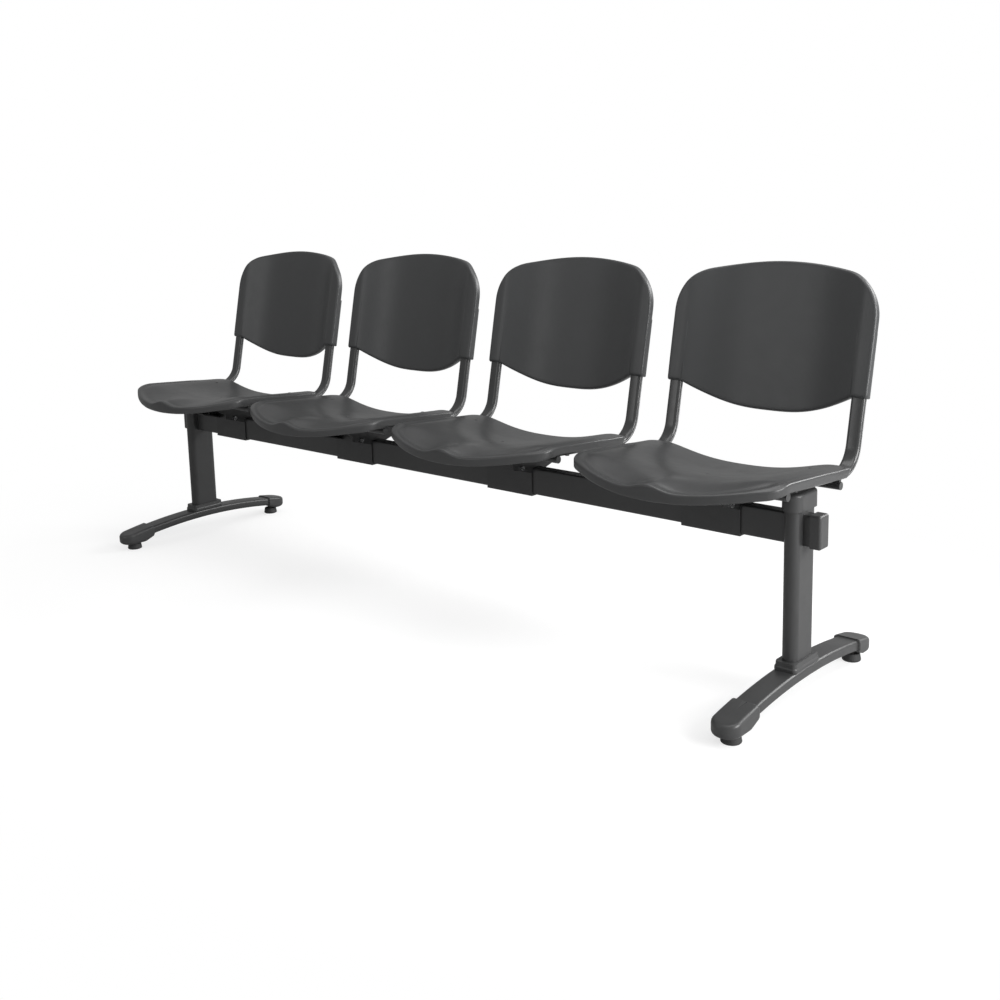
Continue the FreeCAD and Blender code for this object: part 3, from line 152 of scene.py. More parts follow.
def surface(name, grey, rough, spread=0.06, tint=0.01, grain=900.0, depth=0.00012, patch=14.0,
            metal=0.0, rough_spread=0.06):
    """A dull coloured surface with faint patches, a fine grain and an uneven gloss."""
    material, tree, shader = node_tree(name)
    patches = noise(tree, patch, 5.0)
    colours = ramp(tree, patches, shade(grey * (1 - spread), tint), shade(grey * (1 + spread), tint))
    tree.links.new(colours.outputs["Color"], shader.inputs["Base Color"])
    smudge = noise(tree, patch * SMUDGES, 6.0)
    dull = ramp(tree, smudge, (rough - rough_spread,) * 3 + (1,), (rough + rough_spread,) * 3 + (1,))
    tree.links.new(dull.outputs["Color"], shader.inputs["Roughness"])
    fine = noise(tree, grain, 2.0)
    bump = tree.nodes.new("ShaderNodeBump")
    bump.inputs["Strength"].default_value = GRAIN_STRENGTH
    bump.inputs["Distance"].default_value = depth
    tree.links.new(fine.outputs[0], bump.inputs["Height"])
    tree.links.new(bump.outputs["Normal"], shader.inputs["Normal"])
    shader.inputs["Metallic"].default_value = metal
    shader.inputs["Specular IOR Level"].default_value = 0.5
    return material


MATERIALS = {
    "shell_plastic": surface("seat_plastic", 0.054, 0.34, spread=0.02, tint=0.012,
                             grain=1400.0, depth=0.00008, rough_spread=0.03),
    "back_plastic": surface("back_plastic", 0.058, 0.38, spread=0.02, tint=0.025,
                            grain=1400.0, depth=0.00008, rough_spread=0.02),
    "trim_plastic": surface("trim_plastic", 0.050, 0.38, spread=0.03, grain=1100.0, depth=0.00006),
    "painted_steel": surface("steel_coat", 0.042, 0.36, spread=0.03, grain=420.0,
                             depth=0.00005, patch=9.0),
    "tube_coat": surface("tube_coat", 0.050, 0.22, spread=0.02, grain=420.0, depth=0.00002,
                         patch=20.0, rough_spread=0.03),
    "painted_bracket": surface("bracket_coat", 0.038, 0.46, grain=500.0, depth=0.00010, patch=22.0),
    "zinc_steel": surface("zinc", 0.62, 0.28, grain=700.0, depth=0.00005, patch=120.0, metal=1.0),
    "dark_screw": surface("screw_black", 0.05, 0.4, grain=900.0, depth=0.00005, patch=150.0,
                          metal=0.6),
    "glide_rubber": surface("rubber", 0.035, 0.62, grain=1300.0, depth=0.00015, patch=60.0),
    "insert_brass": surface("brass", 0.10, 0.45, tint=-0.06, grain=900.0, patch=90.0, metal=1.0),
}


def dress(thing, slot, look=None):
    thing.data.materials.clear()
    thing.data.materials.append(MATERIALS[look or slot])


# Mesh helpers.

def mesh_object(name, points, faces):
    mesh = bpy.data.meshes.new(name)
    mesh.from_pydata([tuple(p) for p in points], [], faces)
    mesh.validate()
    mesh.update()
    work = bmesh.new()
    work.from_mesh(mesh)
    bmesh.ops.recalc_face_normals(work, faces=work.faces)
    work.to_mesh(mesh)
    work.free()
    for face in mesh.polygons:
        face.use_smooth = True
    thing = bpy.data.objects.new(name, mesh)
    bpy.context.collection.objects.link(thing)
    return thing


def loft(name, rings):
    """A skin over rings of equal point counts, closed by a fan at each end."""
    points = [p for ring in rings for p in ring]
    count = len(rings[0])
    faces = []
    for i in range(len(rings) - 1):
        for j in range(count):
            k = (j + 1) % count
            faces.append((i * count + j, i * count + k, (i + 1) * count + k, (i + 1) * count + j))
    points.append(sum((Vector(p) for p in rings[0]), Vector()) / count)
    faces += [(len(points) - 1, (j + 1) % count, j) for j in range(count)]
    points.append(sum((Vector(p) for p in rings[-1]), Vector()) / count)
    base = (len(rings) - 1) * count
    faces += [(len(points) - 1, base + j, base + (j + 1) % count) for j in range(count)]
    return mesh_object(name, points, faces)


def rounded_ring(centre, across, up, half_wide, half_high, corner, steps):
    """A ring with the outline of a rounded rectangle, with so many steps in each corner."""
    corner = min(corner, half_wide, half_high)
    ring = []
    for sx, sy, start in ((1, 1, 0), (-1, 1, 90), (-1, -1, 180), (1, -1, 270)):
        for step in range(steps + 1):
            a = math.radians(start + 90 * step / steps)
            x = sx * (half_wide - corner) + corner * math.cos(a)
            y = sy * (half_high - corner) + corner * math.sin(a)
            ring.append(centre + across * x + up * y)
    return ring


def arc_points(centre, radius, start, end, count):
    """Points on an arc in a plane, its angles in degrees."""
    angles = [math.radians(start + (end - start) * i / count) for i in range(count + 1)]
    return [(centre[0] + radius * math.cos(a), centre[1] + radius * math.sin(a)) for a in angles]


def mirrored(points):
    """The same points on the other side of the middle."""
    return [(-a, b) for a, b in points]


def even(points, count):
    """The same open line with evenly spaced points."""
    line = np.array(points, dtype=float)
    steps = np.hypot(*np.diff(line, axis=0).T)
    length = np.concatenate(([0.0], np.cumsum(steps)))
    spots = np.linspace(0, length[-1], count + 1)
    return np.stack([np.interp(spots, length, line[:, i]) for i in (0, 1)], axis=1)


def coons(bottom, right, top, left):
    """A grid of points inside four edges; bottom and top run the same way, and so do left and right."""
    columns = len(bottom) - 1
    rows = len(left) - 1
    u = np.linspace(0, 1, columns + 1)[None, :, None]
    v = np.linspace(0, 1, rows + 1)[:, None, None]
    ruled = (1 - v) * bottom[None] + v * top[None] + (1 - u) * left[:, None] + u * right[:, None]
    corners = ((1 - u) * (1 - v) * bottom[0] + u * (1 - v) * bottom[-1]
               + (1 - u) * v * top[0] + u * v * top[-1])
    return ruled - corners


def rise(t, hollow, sweep):
    """From 0 in the middle to 1 at a shoulder, level at both."""
    t = np.minimum(np.abs(t), 1.0)
    return (sweep * t ** hollow - hollow * t ** sweep) / (sweep - hollow)


def ease(t):
    """From 0 to 1, level at both ends."""
    t = np.clip(t, 0.0, 1.0)
    return t * t * (3 - 2 * t)


# The angles of a shell's rounded edge and of its wall's rounded foot, and the rings between them.
LIP_ANGLES = (22.5, 45.0, 67.5, 90.0)
WALL_PARTS = (0.25, 0.5, 0.75)
FOOT_ANGLES = (0.0, 45.0, 90.0)
# The foot's rounding as a part of half the wall, and the underside's as a part of the skin.
FOOT_SHARE = 0.8
UNDER_SHARE = 0.4


def shell(name, edges, level, skin, lip, wall, drop, place):
    """A moulded shell: a curved skin whose rounded edge turns down all round.

    edges gives the outline's four sides drawn in by a distance, level the skin's height, lip the
    edge's rounding, wall the turned edge's thickness, drop its depth at a point of the outline,
    and place turns plane points and a height into the row frame."""
    grid = coons(*edges(lip))
    rows, columns = grid.shape[:2]

    def loop(block):
        """The grid's rim as one closed line."""
        return np.concatenate([block[0, :-1], block[:-1, -1], block[-1, :0:-1], block[:0:-1, 0]])

    def rim(inset):
        return loop(coons(*edges(inset)))

    def skin_points(block, lower):
        return [place(a, b, float(level(a, b)) - lower) for line in block for a, b in line]

    def foot_ring(line, way, angle):
        """A ring of the turned edge's rounded foot."""
        a = math.radians(angle)
        spot = line + outward * way * foot * (1 - math.cos(a))
        return spot, edge_level - depth + foot * (1 - math.sin(a))

    edge = loop(grid)
    edge_level = level(edge[:, 0], edge[:, 1])
    outer = rim(0.0)
    outward = outer - edge
    outward /= np.linalg.norm(outward, axis=1)[:, None]
    depth = drop(outer[:, 0], outer[:, 1])
    foot = min(lip, wall / 2) * FOOT_SHARE
    under = skin * UNDER_SHARE
    loops = []
    for angle in LIP_ANGLES:
        a = math.radians(angle)
        loops.append((edge + outward * lip * math.sin(a), edge_level - lip * (1 - math.cos(a))))
    loops += [(outer, edge_level - lip - (depth - lip - foot) * part) for part in WALL_PARTS]
    loops += [foot_ring(outer, -1, angle) for angle in FOOT_ANGLES]
    inner = outer - outward * wall
    loops += [foot_ring(inner, 1, angle) for angle in reversed(FOOT_ANGLES)]
    below = coons(*edges(wall + under))
    inner_level = np.minimum(level(inner[:, 0], inner[:, 1]) - skin - under, edge_level - foot)
    inner_level = np.maximum(inner_level, edge_level - depth + foot)
    loops.append((inner, inner_level))
    points = skin_points(grid, 0.0)
    faces = grid_faces(rows, columns, 0)
    index = np.arange(rows * columns).reshape(rows, columns)
    previous = loop(index[..., None])[:, 0].tolist()
    for spot, height in loops:
        current = list(range(len(points), len(points) + len(spot)))
        points += [place(p[0], p[1], float(h)) for p, h in zip(spot, height)]
        faces += band(previous, current)
        previous = current
    base = len(points)
    points += skin_points(below, skin)
    faces += grid_faces(rows, columns, base)
    faces += band(previous, (loop(index[..., None])[:, 0] + base).tolist())
    return mesh_object(name, points, faces)


def grid_faces(rows, columns, base):
    return [(base + r * columns + c, base + r * columns + c + 1,
             base + (r + 1) * columns + c + 1, base + (r + 1) * columns + c)
            for r in range(rows - 1) for c in range(columns - 1)]


def band(one, other):
    count = len(one)
    return [(one[i], one[(i + 1) % count], other[(i + 1) % count], other[i]) for i in range(count)]


def finish_piece(thing, slot, nodes, look=None):
    dress(thing, slot, look)
    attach(thing, BENCH)
    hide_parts(*nodes)


# The frame tubes, whose line the seats and backs follow too.

# The backs' and the seats' tilt, the bend between them, and the line that the backs lean on.
RECLINE = math.radians(12.0)
SEAT_TILT = math.radians(4.0)
BEND_RADIUS = 60 * MM
BACK_HINGE = 184 * MM
BACK_LEVEL = 560.5 * MM
# The tubes' level under the middle of the seats, their front ends, and how far they reach into the backs.
RUN_LEVEL = 431 * MM
RUN_FRONT = 150 * MM
SLEEVE_DEPTH = 128 * MM
# Half the distance between a pair, and the tubes' oval section.
TUBE_HALF = 209.6 * MM
OVAL_WIDTH = 30 * MM
OVAL_DEPTH = 15 * MM
STRAIGHT_STEPS = 8
BEND_STEPS = 16


def run_level(y):
    return RUN_LEVEL - math.tan(SEAT_TILT) * y


def run_edge(y, way):
    return run_level(y) + way * OVAL_DEPTH / 2 / math.cos(SEAT_TILT)


def tube_line():
    """The frame tube's centre line as places and upward directions, from front to top."""
    turn = math.pi / 2 - RECLINE + SEAT_TILT
    meet_y = ((BACK_HINGE - math.tan(RECLINE) * (BACK_LEVEL - RUN_LEVEL))
              / (1 + math.tan(RECLINE) * math.tan(SEAT_TILT)))
    back = Vector((0, math.cos(SEAT_TILT), -math.sin(SEAT_TILT)))
    up = Vector((0, math.sin(SEAT_TILT), math.cos(SEAT_TILT)))
    start = Vector((0, meet_y, run_level(meet_y))) - back * BEND_RADIUS * math.tan(turn / 2)
    centre = start + up * BEND_RADIUS
    front = Vector((0, -RUN_FRONT, run_level(-RUN_FRONT)))
    line = [(front + (start - front) * i / STRAIGHT_STEPS, up) for i in range(STRAIGHT_STEPS + 1)]
    for i in range(1, BEND_STEPS + 1):
        spin = Matrix.Rotation(turn * i / BEND_STEPS, 3, "X")
        line.append((centre - spin @ up * BEND_RADIUS, spin @ up))
    lean_up = Vector((0, math.sin(RECLINE), math.cos(RECLINE)))
    top = Vector((0, BACK_HINGE, BACK_LEVEL)) + lean_up * SLEEVE_DEPTH
    bend_end, normal = line[-1]
    line += [(bend_end + (top - bend_end) * i / STRAIGHT_STEPS, normal)
             for i in range(1, STRAIGHT_STEPS + 1)]
    return line


def make_frame_tubes():
    across = Vector((1, 0, 0))
    for seat in SEATS:
        for side_name, side in SIDES:
            shift = Vector((SEAT_X[seat] + side * TUBE_HALF, 0, 0))
            rings = [rounded_ring(place + shift, across, up, OVAL_WIDTH / 2, OVAL_DEPTH / 2,
                                  OVAL_DEPTH / 2, 9)
                     for place, up in tube_line()]
            name = f"frame_tube_{seat}_{side_name}"
            tube = loft("oval_" + name, rings)
            finish_piece(tube, "painted_steel", [name], "tube_coat")


# The seat shells.

# The seat: half its width, the reach of its front and rear edges, and the radii of its outline.
SEAT_HALF = 232 * MM
SEAT_FRONT = 240 * MM
SEAT_REAR = 121 * MM
SEAT_BOW = 386 * MM
SEAT_CORNER = 48 * MM
SEAT_HEEL = 22 * MM
# Its skin, and the rounding, thickness and depth of its turned-down edge.
SEAT_SKIN = 3.5 * MM
SEAT_LIP = 4.0 * MM
SEAT_WALL = 5 * MM
SEAT_DROP = 18 * MM
# How far before the seat's rear the turned-down edge ends, and over what length it fades.
DROP_END = 4 * MM
DROP_FADE = 26 * MM
# The space between the seat's shoulders and the frame tubes.
SEAT_CLEAR = 4.5 * MM
# How far the shoulders and the hollow fall towards the front edge, and the hump in its middle.
SEAT_FALL = 19 * MM
SEAT_FRONT_FALL = 6.5 * MM
SEAT_HUMP = 13 * MM
# The distances of the two cross tubes, the height of the rear one's lugs, and a fitting gap.
ROD_FRONT = 104 * MM
ROD_REAR = 106 * MM
LUG_HEIGHT = 6.6 * MM
FIT_GAP = 0.3 * MM
# The ridge along the seat's edge and the crease inside it: height, distance from the edge and width.
RIDGE = 1.6 * MM
RIDGE_PLACE = 7 * MM
RIDGE_WIDTH = 5 * MM
CREASE = 1.5 * MM
CREASE_PLACE = 19 * MM
CREASE_WIDTH = 7 * MM
# How softly these two turn the corner, and where they have faded out towards the rear.
RIM_BLEND = 14 * MM
RIM_FADE = 60 * MM
# The cap marks on the seat: places, radius, and the height and draw-in of their rings.
CAP_MARKS = ((18 * MM, -58 * MM), (-172 * MM, 62 * MM), (172 * MM, 62 * MM))
CAP_RADIUS = 4.2 * MM
CAP_RINGS = ((-0.8 * MM, 0.0), (0.35 * MM, 0.0), (0.6 * MM, 0.5 * MM))
# Where the shoulders begin to fall, as a part of the way to the front edge.
SHOULDER_START = 0.52
# Where the hollow reaches its front level and where it begins to fall, in front cross tube distances.
HOLLOW_END = 1.08
LIP_START = 1.4
# Where the hump begins, in front cross tube distances, where it is at its full height and how wide it
# is, as parts of the seat's front reach and half width.
HUMP_START = 1.06
HUMP_FULL = 0.9
HUMP_WIDTH = 0.155
# How the seat and the back curve from the middle to their shoulders.
DISH_HOLLOW = 2.4
DISH_SWEEP = 8
BACK_HOLLOW = 3.5
BACK_SWEEP = 12
# Steps across and along the seat's grid, in half a corner and in the front bow.
SEAT_COLUMNS = 116
SEAT_ROWS = 90
CORNER_STEPS = 5
BOW_STEPS = 36


def shoulder_level(y):
    level = run_edge(y, 1) + SEAT_CLEAR + SEAT_SKIN
    start = SEAT_FRONT * SHOULDER_START
    return level - SEAT_FALL * ease((-y - start) / (SEAT_FRONT - start - SEAT_CORNER / 2))


def hollow_level(y):
    over = SEAT_SKIN + 2 * FIT_GAP
    front = run_edge(-ROD_FRONT, -1) + over
    rear = run_edge(ROD_REAR, -1) - LUG_HEIGHT + over
    low_end = ROD_REAR / 2
    level = rear + (front - rear) * ease((low_end - y) / (low_end + ROD_FRONT * HOLLOW_END))
    start = ROD_FRONT * LIP_START
    return level - SEAT_FRONT_FALL * ease((-y - start) / (SEAT_FRONT - start))


def seat_level(x, y):
    low = hollow_level(y)
    shoulder = TUBE_HALF - OVAL_DEPTH
    level = low + (shoulder_level(y) - low) * rise(x / shoulder, DISH_HOLLOW, DISH_SWEEP)
    return level + seat_hump(x, y) + rim_relief(x, y)


def seat_hump(x, y):
    """The hump in the middle of the seat's front edge."""
    start = ROD_FRONT * HUMP_START
    hump = ease((-y - start) / (SEAT_FRONT * HUMP_FULL - start))
    return SEAT_HUMP * hump * np.exp(-(x / (SEAT_HALF * HUMP_WIDTH)) ** 2)


def rim_relief(x, y):
    """A low ridge along the seat's edge and a shallow crease inside it."""
    bow_y = SEAT_BOW - SEAT_FRONT
    side = SEAT_HALF - np.abs(x)
    front = SEAT_BOW - np.hypot(x, y - bow_y)
    inset = -RIM_BLEND * np.log(np.exp(-side / RIM_BLEND) + np.exp(-front / RIM_BLEND))
    fade = ease((RIM_FADE - y) / RIM_FADE)
    ridge = RIDGE * np.exp(-((inset - RIDGE_PLACE) / RIDGE_WIDTH) ** 2)
    crease = CREASE * np.exp(-((inset - CREASE_PLACE) / CREASE_WIDTH) ** 2)
    return fade * (ridge - crease)


def seat_edges(inset):
    """The seat's outline from above as four sides, split in the middle of its corners."""
    half = SEAT_HALF - inset
    front = SEAT_FRONT - inset
    rear = SEAT_REAR - inset
    bow = SEAT_BOW - inset
    corner = SEAT_CORNER - inset
    heel = SEAT_HEEL - inset
    bow_y = bow - front
    cx = half - corner
    cy = bow_y - math.sqrt((bow - corner) ** 2 - cx ** 2)
    touch = math.degrees(math.atan2(cy - bow_y, cx))
    knee = touch / 2
    bottom = (arc_points((-cx, cy), corner, -180 - knee, -180 - touch, CORNER_STEPS)[:-1]
              + arc_points((0, bow_y), bow, -180 - touch, touch, BOW_STEPS)
              + arc_points((cx, cy), corner, touch, knee, CORNER_STEPS)[1:])
    turn = (half - heel, rear - heel)
    right = arc_points((cx, cy), corner, knee, 0, CORNER_STEPS) + arc_points(turn, heel, 0, 45, CORNER_STEPS)
    top = (mirrored(arc_points(turn, heel, 45, 90, CORNER_STEPS))
           + arc_points(turn, heel, 90, 45, CORNER_STEPS))
    return (even(bottom, SEAT_COLUMNS), even(right, SEAT_ROWS),
            even(top, SEAT_COLUMNS), even(mirrored(right), SEAT_ROWS))


def seat_drop(x, y):
    """The depth of the turned-down edge, which ends before the seat's rear."""
    deep = SEAT_SKIN + (SEAT_DROP - SEAT_SKIN) * ease((SEAT_REAR - DROP_END - y) / DROP_FADE)
    return deep + seat_hump(x, y)


def cap_mark(name, x, y, shift):
    """A low round cap on the seat."""
    centre = Vector((x + shift, y, float(seat_level(x, y))))
    rings = [rounded_ring(centre + Vector((0, 0, lift)), Vector((1, 0, 0)), Vector((0, 1, 0)),
                          CAP_RADIUS - cut, CAP_RADIUS - cut, CAP_RADIUS, 6)
             for lift, cut in CAP_RINGS]
    return loft(name, rings)


def make_seats():
    for seat in SEATS:
        shift = SEAT_X[seat]
        thing = shell(f"seat_{seat}", seat_edges, seat_level, SEAT_SKIN, SEAT_LIP, SEAT_WALL, seat_drop,
                      lambda a, b, h, shift=shift: (a + shift, b, h))
        marks = [cap_mark(f"cap_{seat}_{i}", x, y, shift) for i, (x, y) in enumerate(CAP_MARKS)]
        join_pieces(thing, marks)
        finish_piece(thing, "shell_plastic", [f"seat_shell_{seat}"])


# The backs.

# The back: half its width, its height over the lower corners, and the radii of its outline.
BACK_HALF = 230 * MM
BACK_RISE = 270 * MM
BACK_BOW = 640 * MM
BACK_SHOULDER = 100 * MM
HEEL_ROUND = 6 * MM
HEEL_LEAST = 0.5 * MM
# Its lowest point below the lower corners, the width of the straight corners, and the poles of the
# edge between them as parts of its half width and its drop.
BACK_DROP = 42 * MM
BACK_FOOT = 34 * MM
BACK_EDGE = ((0.8, -0.38), (0.42, -1.02), (0, -1.02))
# Its skin, and the depth, rounding and thickness of its turned edge.
BACK_SKIN = 3.5 * MM
BACK_RIM = 16 * MM
BACK_LIP = 5.0 * MM
RIM_WALL = 3.2 * MM
BACK_WALL = RIM_WALL * 1.6
# Its hollow from side to side.
BACK_SAG = 38 * MM
# The sleeves behind it: wall, corners, and the height and draw-in of their rings.
SLEEVE_WALL = 3 * MM
SLEEVE_ROUND = 4 * MM
SLEEVE_RINGS = ((0.0, 1.5 * MM), (1.5 * MM, 0.0), (60 * MM, 0.0), (SLEEVE_DEPTH + 0.5 * MM, 0.0),
                (SLEEVE_DEPTH + 2.2 * MM, 0.8 * MM), (SLEEVE_DEPTH + 3 * MM, 2.6 * MM))
# Steps across and up the back's grid, in half a shoulder, in the top bow, in half a heel and below.
BACK_COLUMNS = 72
BACK_ROWS = 48
SHOULDER_STEPS = 8
TOP_STEPS = 24
HEEL_STEPS = 3
LOWER_STEPS = 60


def sleeve_half():
    return OVAL_DEPTH / 2 + FIT_GAP + SLEEVE_WALL


def back_front(x):
    flat = TUBE_HALF - OVAL_DEPTH / 4
    return BACK_SAG * (1 - rise(x / flat, BACK_HOLLOW, BACK_SWEEP)) - sleeve_half()


def back_edges(inset):
    """The back's outline, square to its front, as four sides split in its corners."""
    half = BACK_HALF - inset
    top = BACK_RISE - inset
    shoulder = BACK_SHOULDER - inset
    bow = BACK_BOW - inset
    cx = half - shoulder
    cz = top - bow + math.sqrt((bow - shoulder) ** 2 - cx ** 2)
    touch = math.degrees(math.atan2(cz - (top - bow), cx))
    knee = touch / 2
    upper = (arc_points((-cx, cz), shoulder, 180 - knee, 180 - touch, SHOULDER_STEPS)[:-1]
             + arc_points((0, top - bow), bow, 180 - touch, touch, TOP_STEPS)
             + arc_points((cx, cz), shoulder, touch, knee, SHOULDER_STEPS)[1:])
    corner = max(HEEL_ROUND - inset, HEEL_LEAST)
    heel = (half - corner, inset + corner)
    right = (arc_points(heel, corner, -45, 0, HEEL_STEPS)
             + arc_points((cx, cz), shoulder, 0, knee, SHOULDER_STEPS))
    foot = BACK_HALF - BACK_FOOT
    drop = BACK_DROP - inset
    poles = [(foot, inset)] + [(foot * u, drop * v) for u, v in BACK_EDGE]
    spine = mirrored(poles[:-1]) + poles[::-1]
    lower = (mirrored(arc_points(heel, corner, -45, -90, HEEL_STEPS))
             + spline(spine, LOWER_STEPS)
             + arc_points(heel, corner, -90, -45, HEEL_STEPS))
    return (even(lower, BACK_COLUMNS), even(right, BACK_ROWS),
            even(upper, BACK_COLUMNS), even(mirrored(right), BACK_ROWS))


def spline(poles, count):
    """A clamped cubic B-spline through the first and last pole."""
    degree = 3
    inner = len(poles) - degree
    knots = [0.0] * degree + [i / inner for i in range(inner + 1)] + [1.0] * degree
    line = []
    for step in range(count + 1):
        t = min(step / count, 1 - 1e-9)
        span = max(i for i in range(degree, len(poles)) if knots[i] <= t)
        work = [list(poles[span - degree + j]) for j in range(degree + 1)]
        for level in range(1, degree + 1):
            for j in range(degree, level - 1, -1):
                i = span - degree + j
                share = (t - knots[i]) / (knots[i + degree - level + 1] - knots[i])
                work[j] = [(1 - share) * a + share * b for a, b in zip(work[j - 1], work[j])]
        line.append(tuple(work[degree]))
    return line


def back_place(shift):
    """From the back's own plane and height towards its front to the row frame."""
    def place(a, b, h):
        return (a + shift, BACK_HINGE + b * math.sin(RECLINE) - h * math.cos(RECLINE),
                BACK_LEVEL + b * math.cos(RECLINE) + h * math.sin(RECLINE))
    return place


def make_backs():
    for seat in SEATS:
        thing = shell(f"back_{seat}", back_edges, lambda a, b: -back_front(a), BACK_SKIN, BACK_LIP,
                      BACK_WALL, lambda a, b: np.full_like(a, BACK_RIM), back_place(SEAT_X[seat]))
        sleeves = [back_sleeve(seat, side_name, side) for side_name, side in SIDES]
        join_pieces(thing, sleeves)
        finish_piece(thing, "shell_plastic", [f"back_shell_{seat}"], "back_plastic")


def back_sleeve(seat, side_name, side):
    """The closed sleeve behind a back's side, round the frame tube's upper end."""
    outer = BACK_HALF - RIM_WALL / 2
    inner = TUBE_HALF - OVAL_WIDTH / 2 - FIT_GAP - SLEEVE_WALL
    lean_up = Vector((0, math.sin(RECLINE), math.cos(RECLINE)))
    lean_back = Vector((0, math.cos(RECLINE), -math.sin(RECLINE)))
    base = Vector((SEAT_X[seat] + side * (outer + inner) / 2, BACK_HINGE, BACK_LEVEL))
    deep = sleeve_half()
    forward = deep - BACK_SKIN / 2
    rings = []
    for height, shrink in SLEEVE_RINGS:
        centre = base + lean_up * height + lean_back * (deep - forward) / 2
        rings.append(rounded_ring(centre, Vector((1, 0, 0)), lean_back, (outer - inner) / 2 - shrink,
                                  (deep + forward) / 2 - shrink, SLEEVE_ROUND, 5))
    return loft(f"sleeve_{seat}_{side_name}", rings)


def join_pieces(base, others):
    """One object from several meshes."""
    work = bmesh.new()
    work.from_mesh(base.data)
    for other in others:
        work.from_mesh(other.data)
    work.to_mesh(base.data)
    work.free()
    for face in base.data.polygons:
        face.use_smooth = True
    for other in others:
        mesh = other.data
        bpy.data.objects.remove(other)
        bpy.data.meshes.remove(mesh)


# The feet.

# The foot bars: top over the floor, radius of the arch, section, and length.
FOOT_CROWN = 69 * MM
FOOT_ARCH = 1450 * MM
FOOT_DEPTH = 22 * MM
FOOT_WIDTH = 50 * MM
FOOT_ROUND = 7 * MM
FOOT_LENGTH = 524 * MM
FOOT_STEPS = 48
# The toe caps: reach, length, width, the thickness over the foot bar, and the underside's height.
TOE_REACH = 281 * MM
TOE_LENGTH = {"front": 90 * MM, "rear": 64 * MM}
TOE_WIDTH = 58 * MM
TOE_SHELL = 3.4 * MM
TOE_FLOOR = 18 * MM
# The rounding of their noses from above, of their lower edges and of their upper edges.
TOE_NOSE = 27 * MM
TOE_UNDER = 10 * MM
TOE_EDGE = 7 * MM
# How far the underside rises to the open end, over what length, and how far that end is drawn in.
TOE_LIFT = 10 * MM
TOE_RAMP = 26 * MM
TOE_MOUTH = 1.5 * MM
# How far the rings that close a toe cap's flat faces are drawn in, and the rings up its side.
TOE_BOTTOM_INSETS = (24 * MM, 17 * MM)
TOE_TOP_INSETS = (12 * MM, 18 * MM, 24 * MM)
TOE_SIDE_PARTS = (0.33, 0.67)
# Steps along a toe cap's side, round a quarter of its nose and across its open end.
SIDE_STEPS = 16
NOSE_STEPS = 14
OPEN_STEPS = 12


def foot_top(y):
    return FOOT_CROWN - FOOT_ARCH + math.sqrt(FOOT_ARCH ** 2 - y * y)


def make_feet():
    across = Vector((1, 0, 0))
    for side_name, _ in SIDES:
        x = LEG_X[side_name]
        rings = []
        radius = FOOT_ARCH - FOOT_DEPTH / 2
        reach = math.asin(FOOT_LENGTH / 2 / radius)
        for i in range(FOOT_STEPS + 1):
            a = reach * (2 * i / FOOT_STEPS - 1)
            up = Vector((0, math.sin(a), math.cos(a)))
            centre = Vector((x, 0, FOOT_CROWN - FOOT_ARCH)) + up * radius
            rings.append(rounded_ring(centre, across, up, FOOT_WIDTH / 2, FOOT_DEPTH / 2,
                                      FOOT_ROUND, 7))
        name = f"foot_bar_{side_name}"
        finish_piece(loft("arched_" + name, rings), "painted_steel", [name])
        for end, way in ENDS:
            make_toe(side_name, x, end, way)


def toe_outline(length, inset):
    """A toe cap's outline from above, drawn in; its open end is drawn in less."""
    half = TOE_WIDTH / 2 - inset
    start = TOE_REACH - length + min(inset, TOE_MOUTH)
    tip = TOE_REACH - inset
    nose = TOE_NOSE - inset
    right = [(half, start + (tip - nose - start) * i / SIDE_STEPS) for i in range(SIDE_STEPS + 1)]
    arc = arc_points((half - nose, tip - nose), nose, 0, 90, NOSE_STEPS)
    line = right + arc[1:]
    open_end = [(-half + 2 * half * i / OPEN_STEPS, start) for i in range(1, OPEN_STEPS)]
    return line + mirrored(line[::-1]) + open_end


def make_toe(side_name, x, end, way):
    """A moulded cap with a round nose, rounded above and below, over a foot bar's end."""
    length = TOE_LENGTH[end]
    start = TOE_REACH - length

    def top(y):
        return foot_top(y) + TOE_SHELL

    def low(y):
        return TOE_FLOOR + TOE_LIFT * max(0.0, 1 - (y - start) / TOE_RAMP)

    def side(y, part):
        """A level on the cap's side, as a part of the way up from its lower rounding to its upper one."""
        bottom = low(y) + TOE_UNDER
        return bottom + (top(y) - TOE_EDGE - bottom) * part

    def ring(inset, level):
        return [(x + p, way * b, level(b)) for p, b in toe_outline(length, inset)]

    turns = [math.radians(angle) for angle in range(0, 91, 15)]
    rings = [ring(inset, low) for inset in TOE_BOTTOM_INSETS]
    rings += [ring(TOE_UNDER * (1 - math.sin(a)), lambda y: low(y) + TOE_UNDER * (1 - math.cos(a)))
              for a in turns]
    rings += [ring(0.0, lambda y: side(y, part)) for part in TOE_SIDE_PARTS]
    rings += [ring(TOE_EDGE * (1 - math.cos(a)), lambda y: top(y) - TOE_EDGE * (1 - math.sin(a)))
              for a in turns]
    rings += [ring(inset, top) for inset in TOE_TOP_INSETS]
    name = f"toe_cap_{side_name}_{end}"
    finish_piece(loft("moulded_" + name, rings), "trim_plastic", [name])


# The floor, the backdrop and the lights.

FLOOR_HALF = 30.0
FLOOR_GREY = 0.46
# What the camera sees the floor give of its own near the bench.
FLOOR_GLOW = 0.62
# The floor turns from shadowed to plain white between these distances in metres.
WHITE_START = 0.35
WHITE_END = 1.25
# What part of a distance along the beam counts there.
ALONG_BEAM = 0.62
WORLD_LIGHT = 0.36


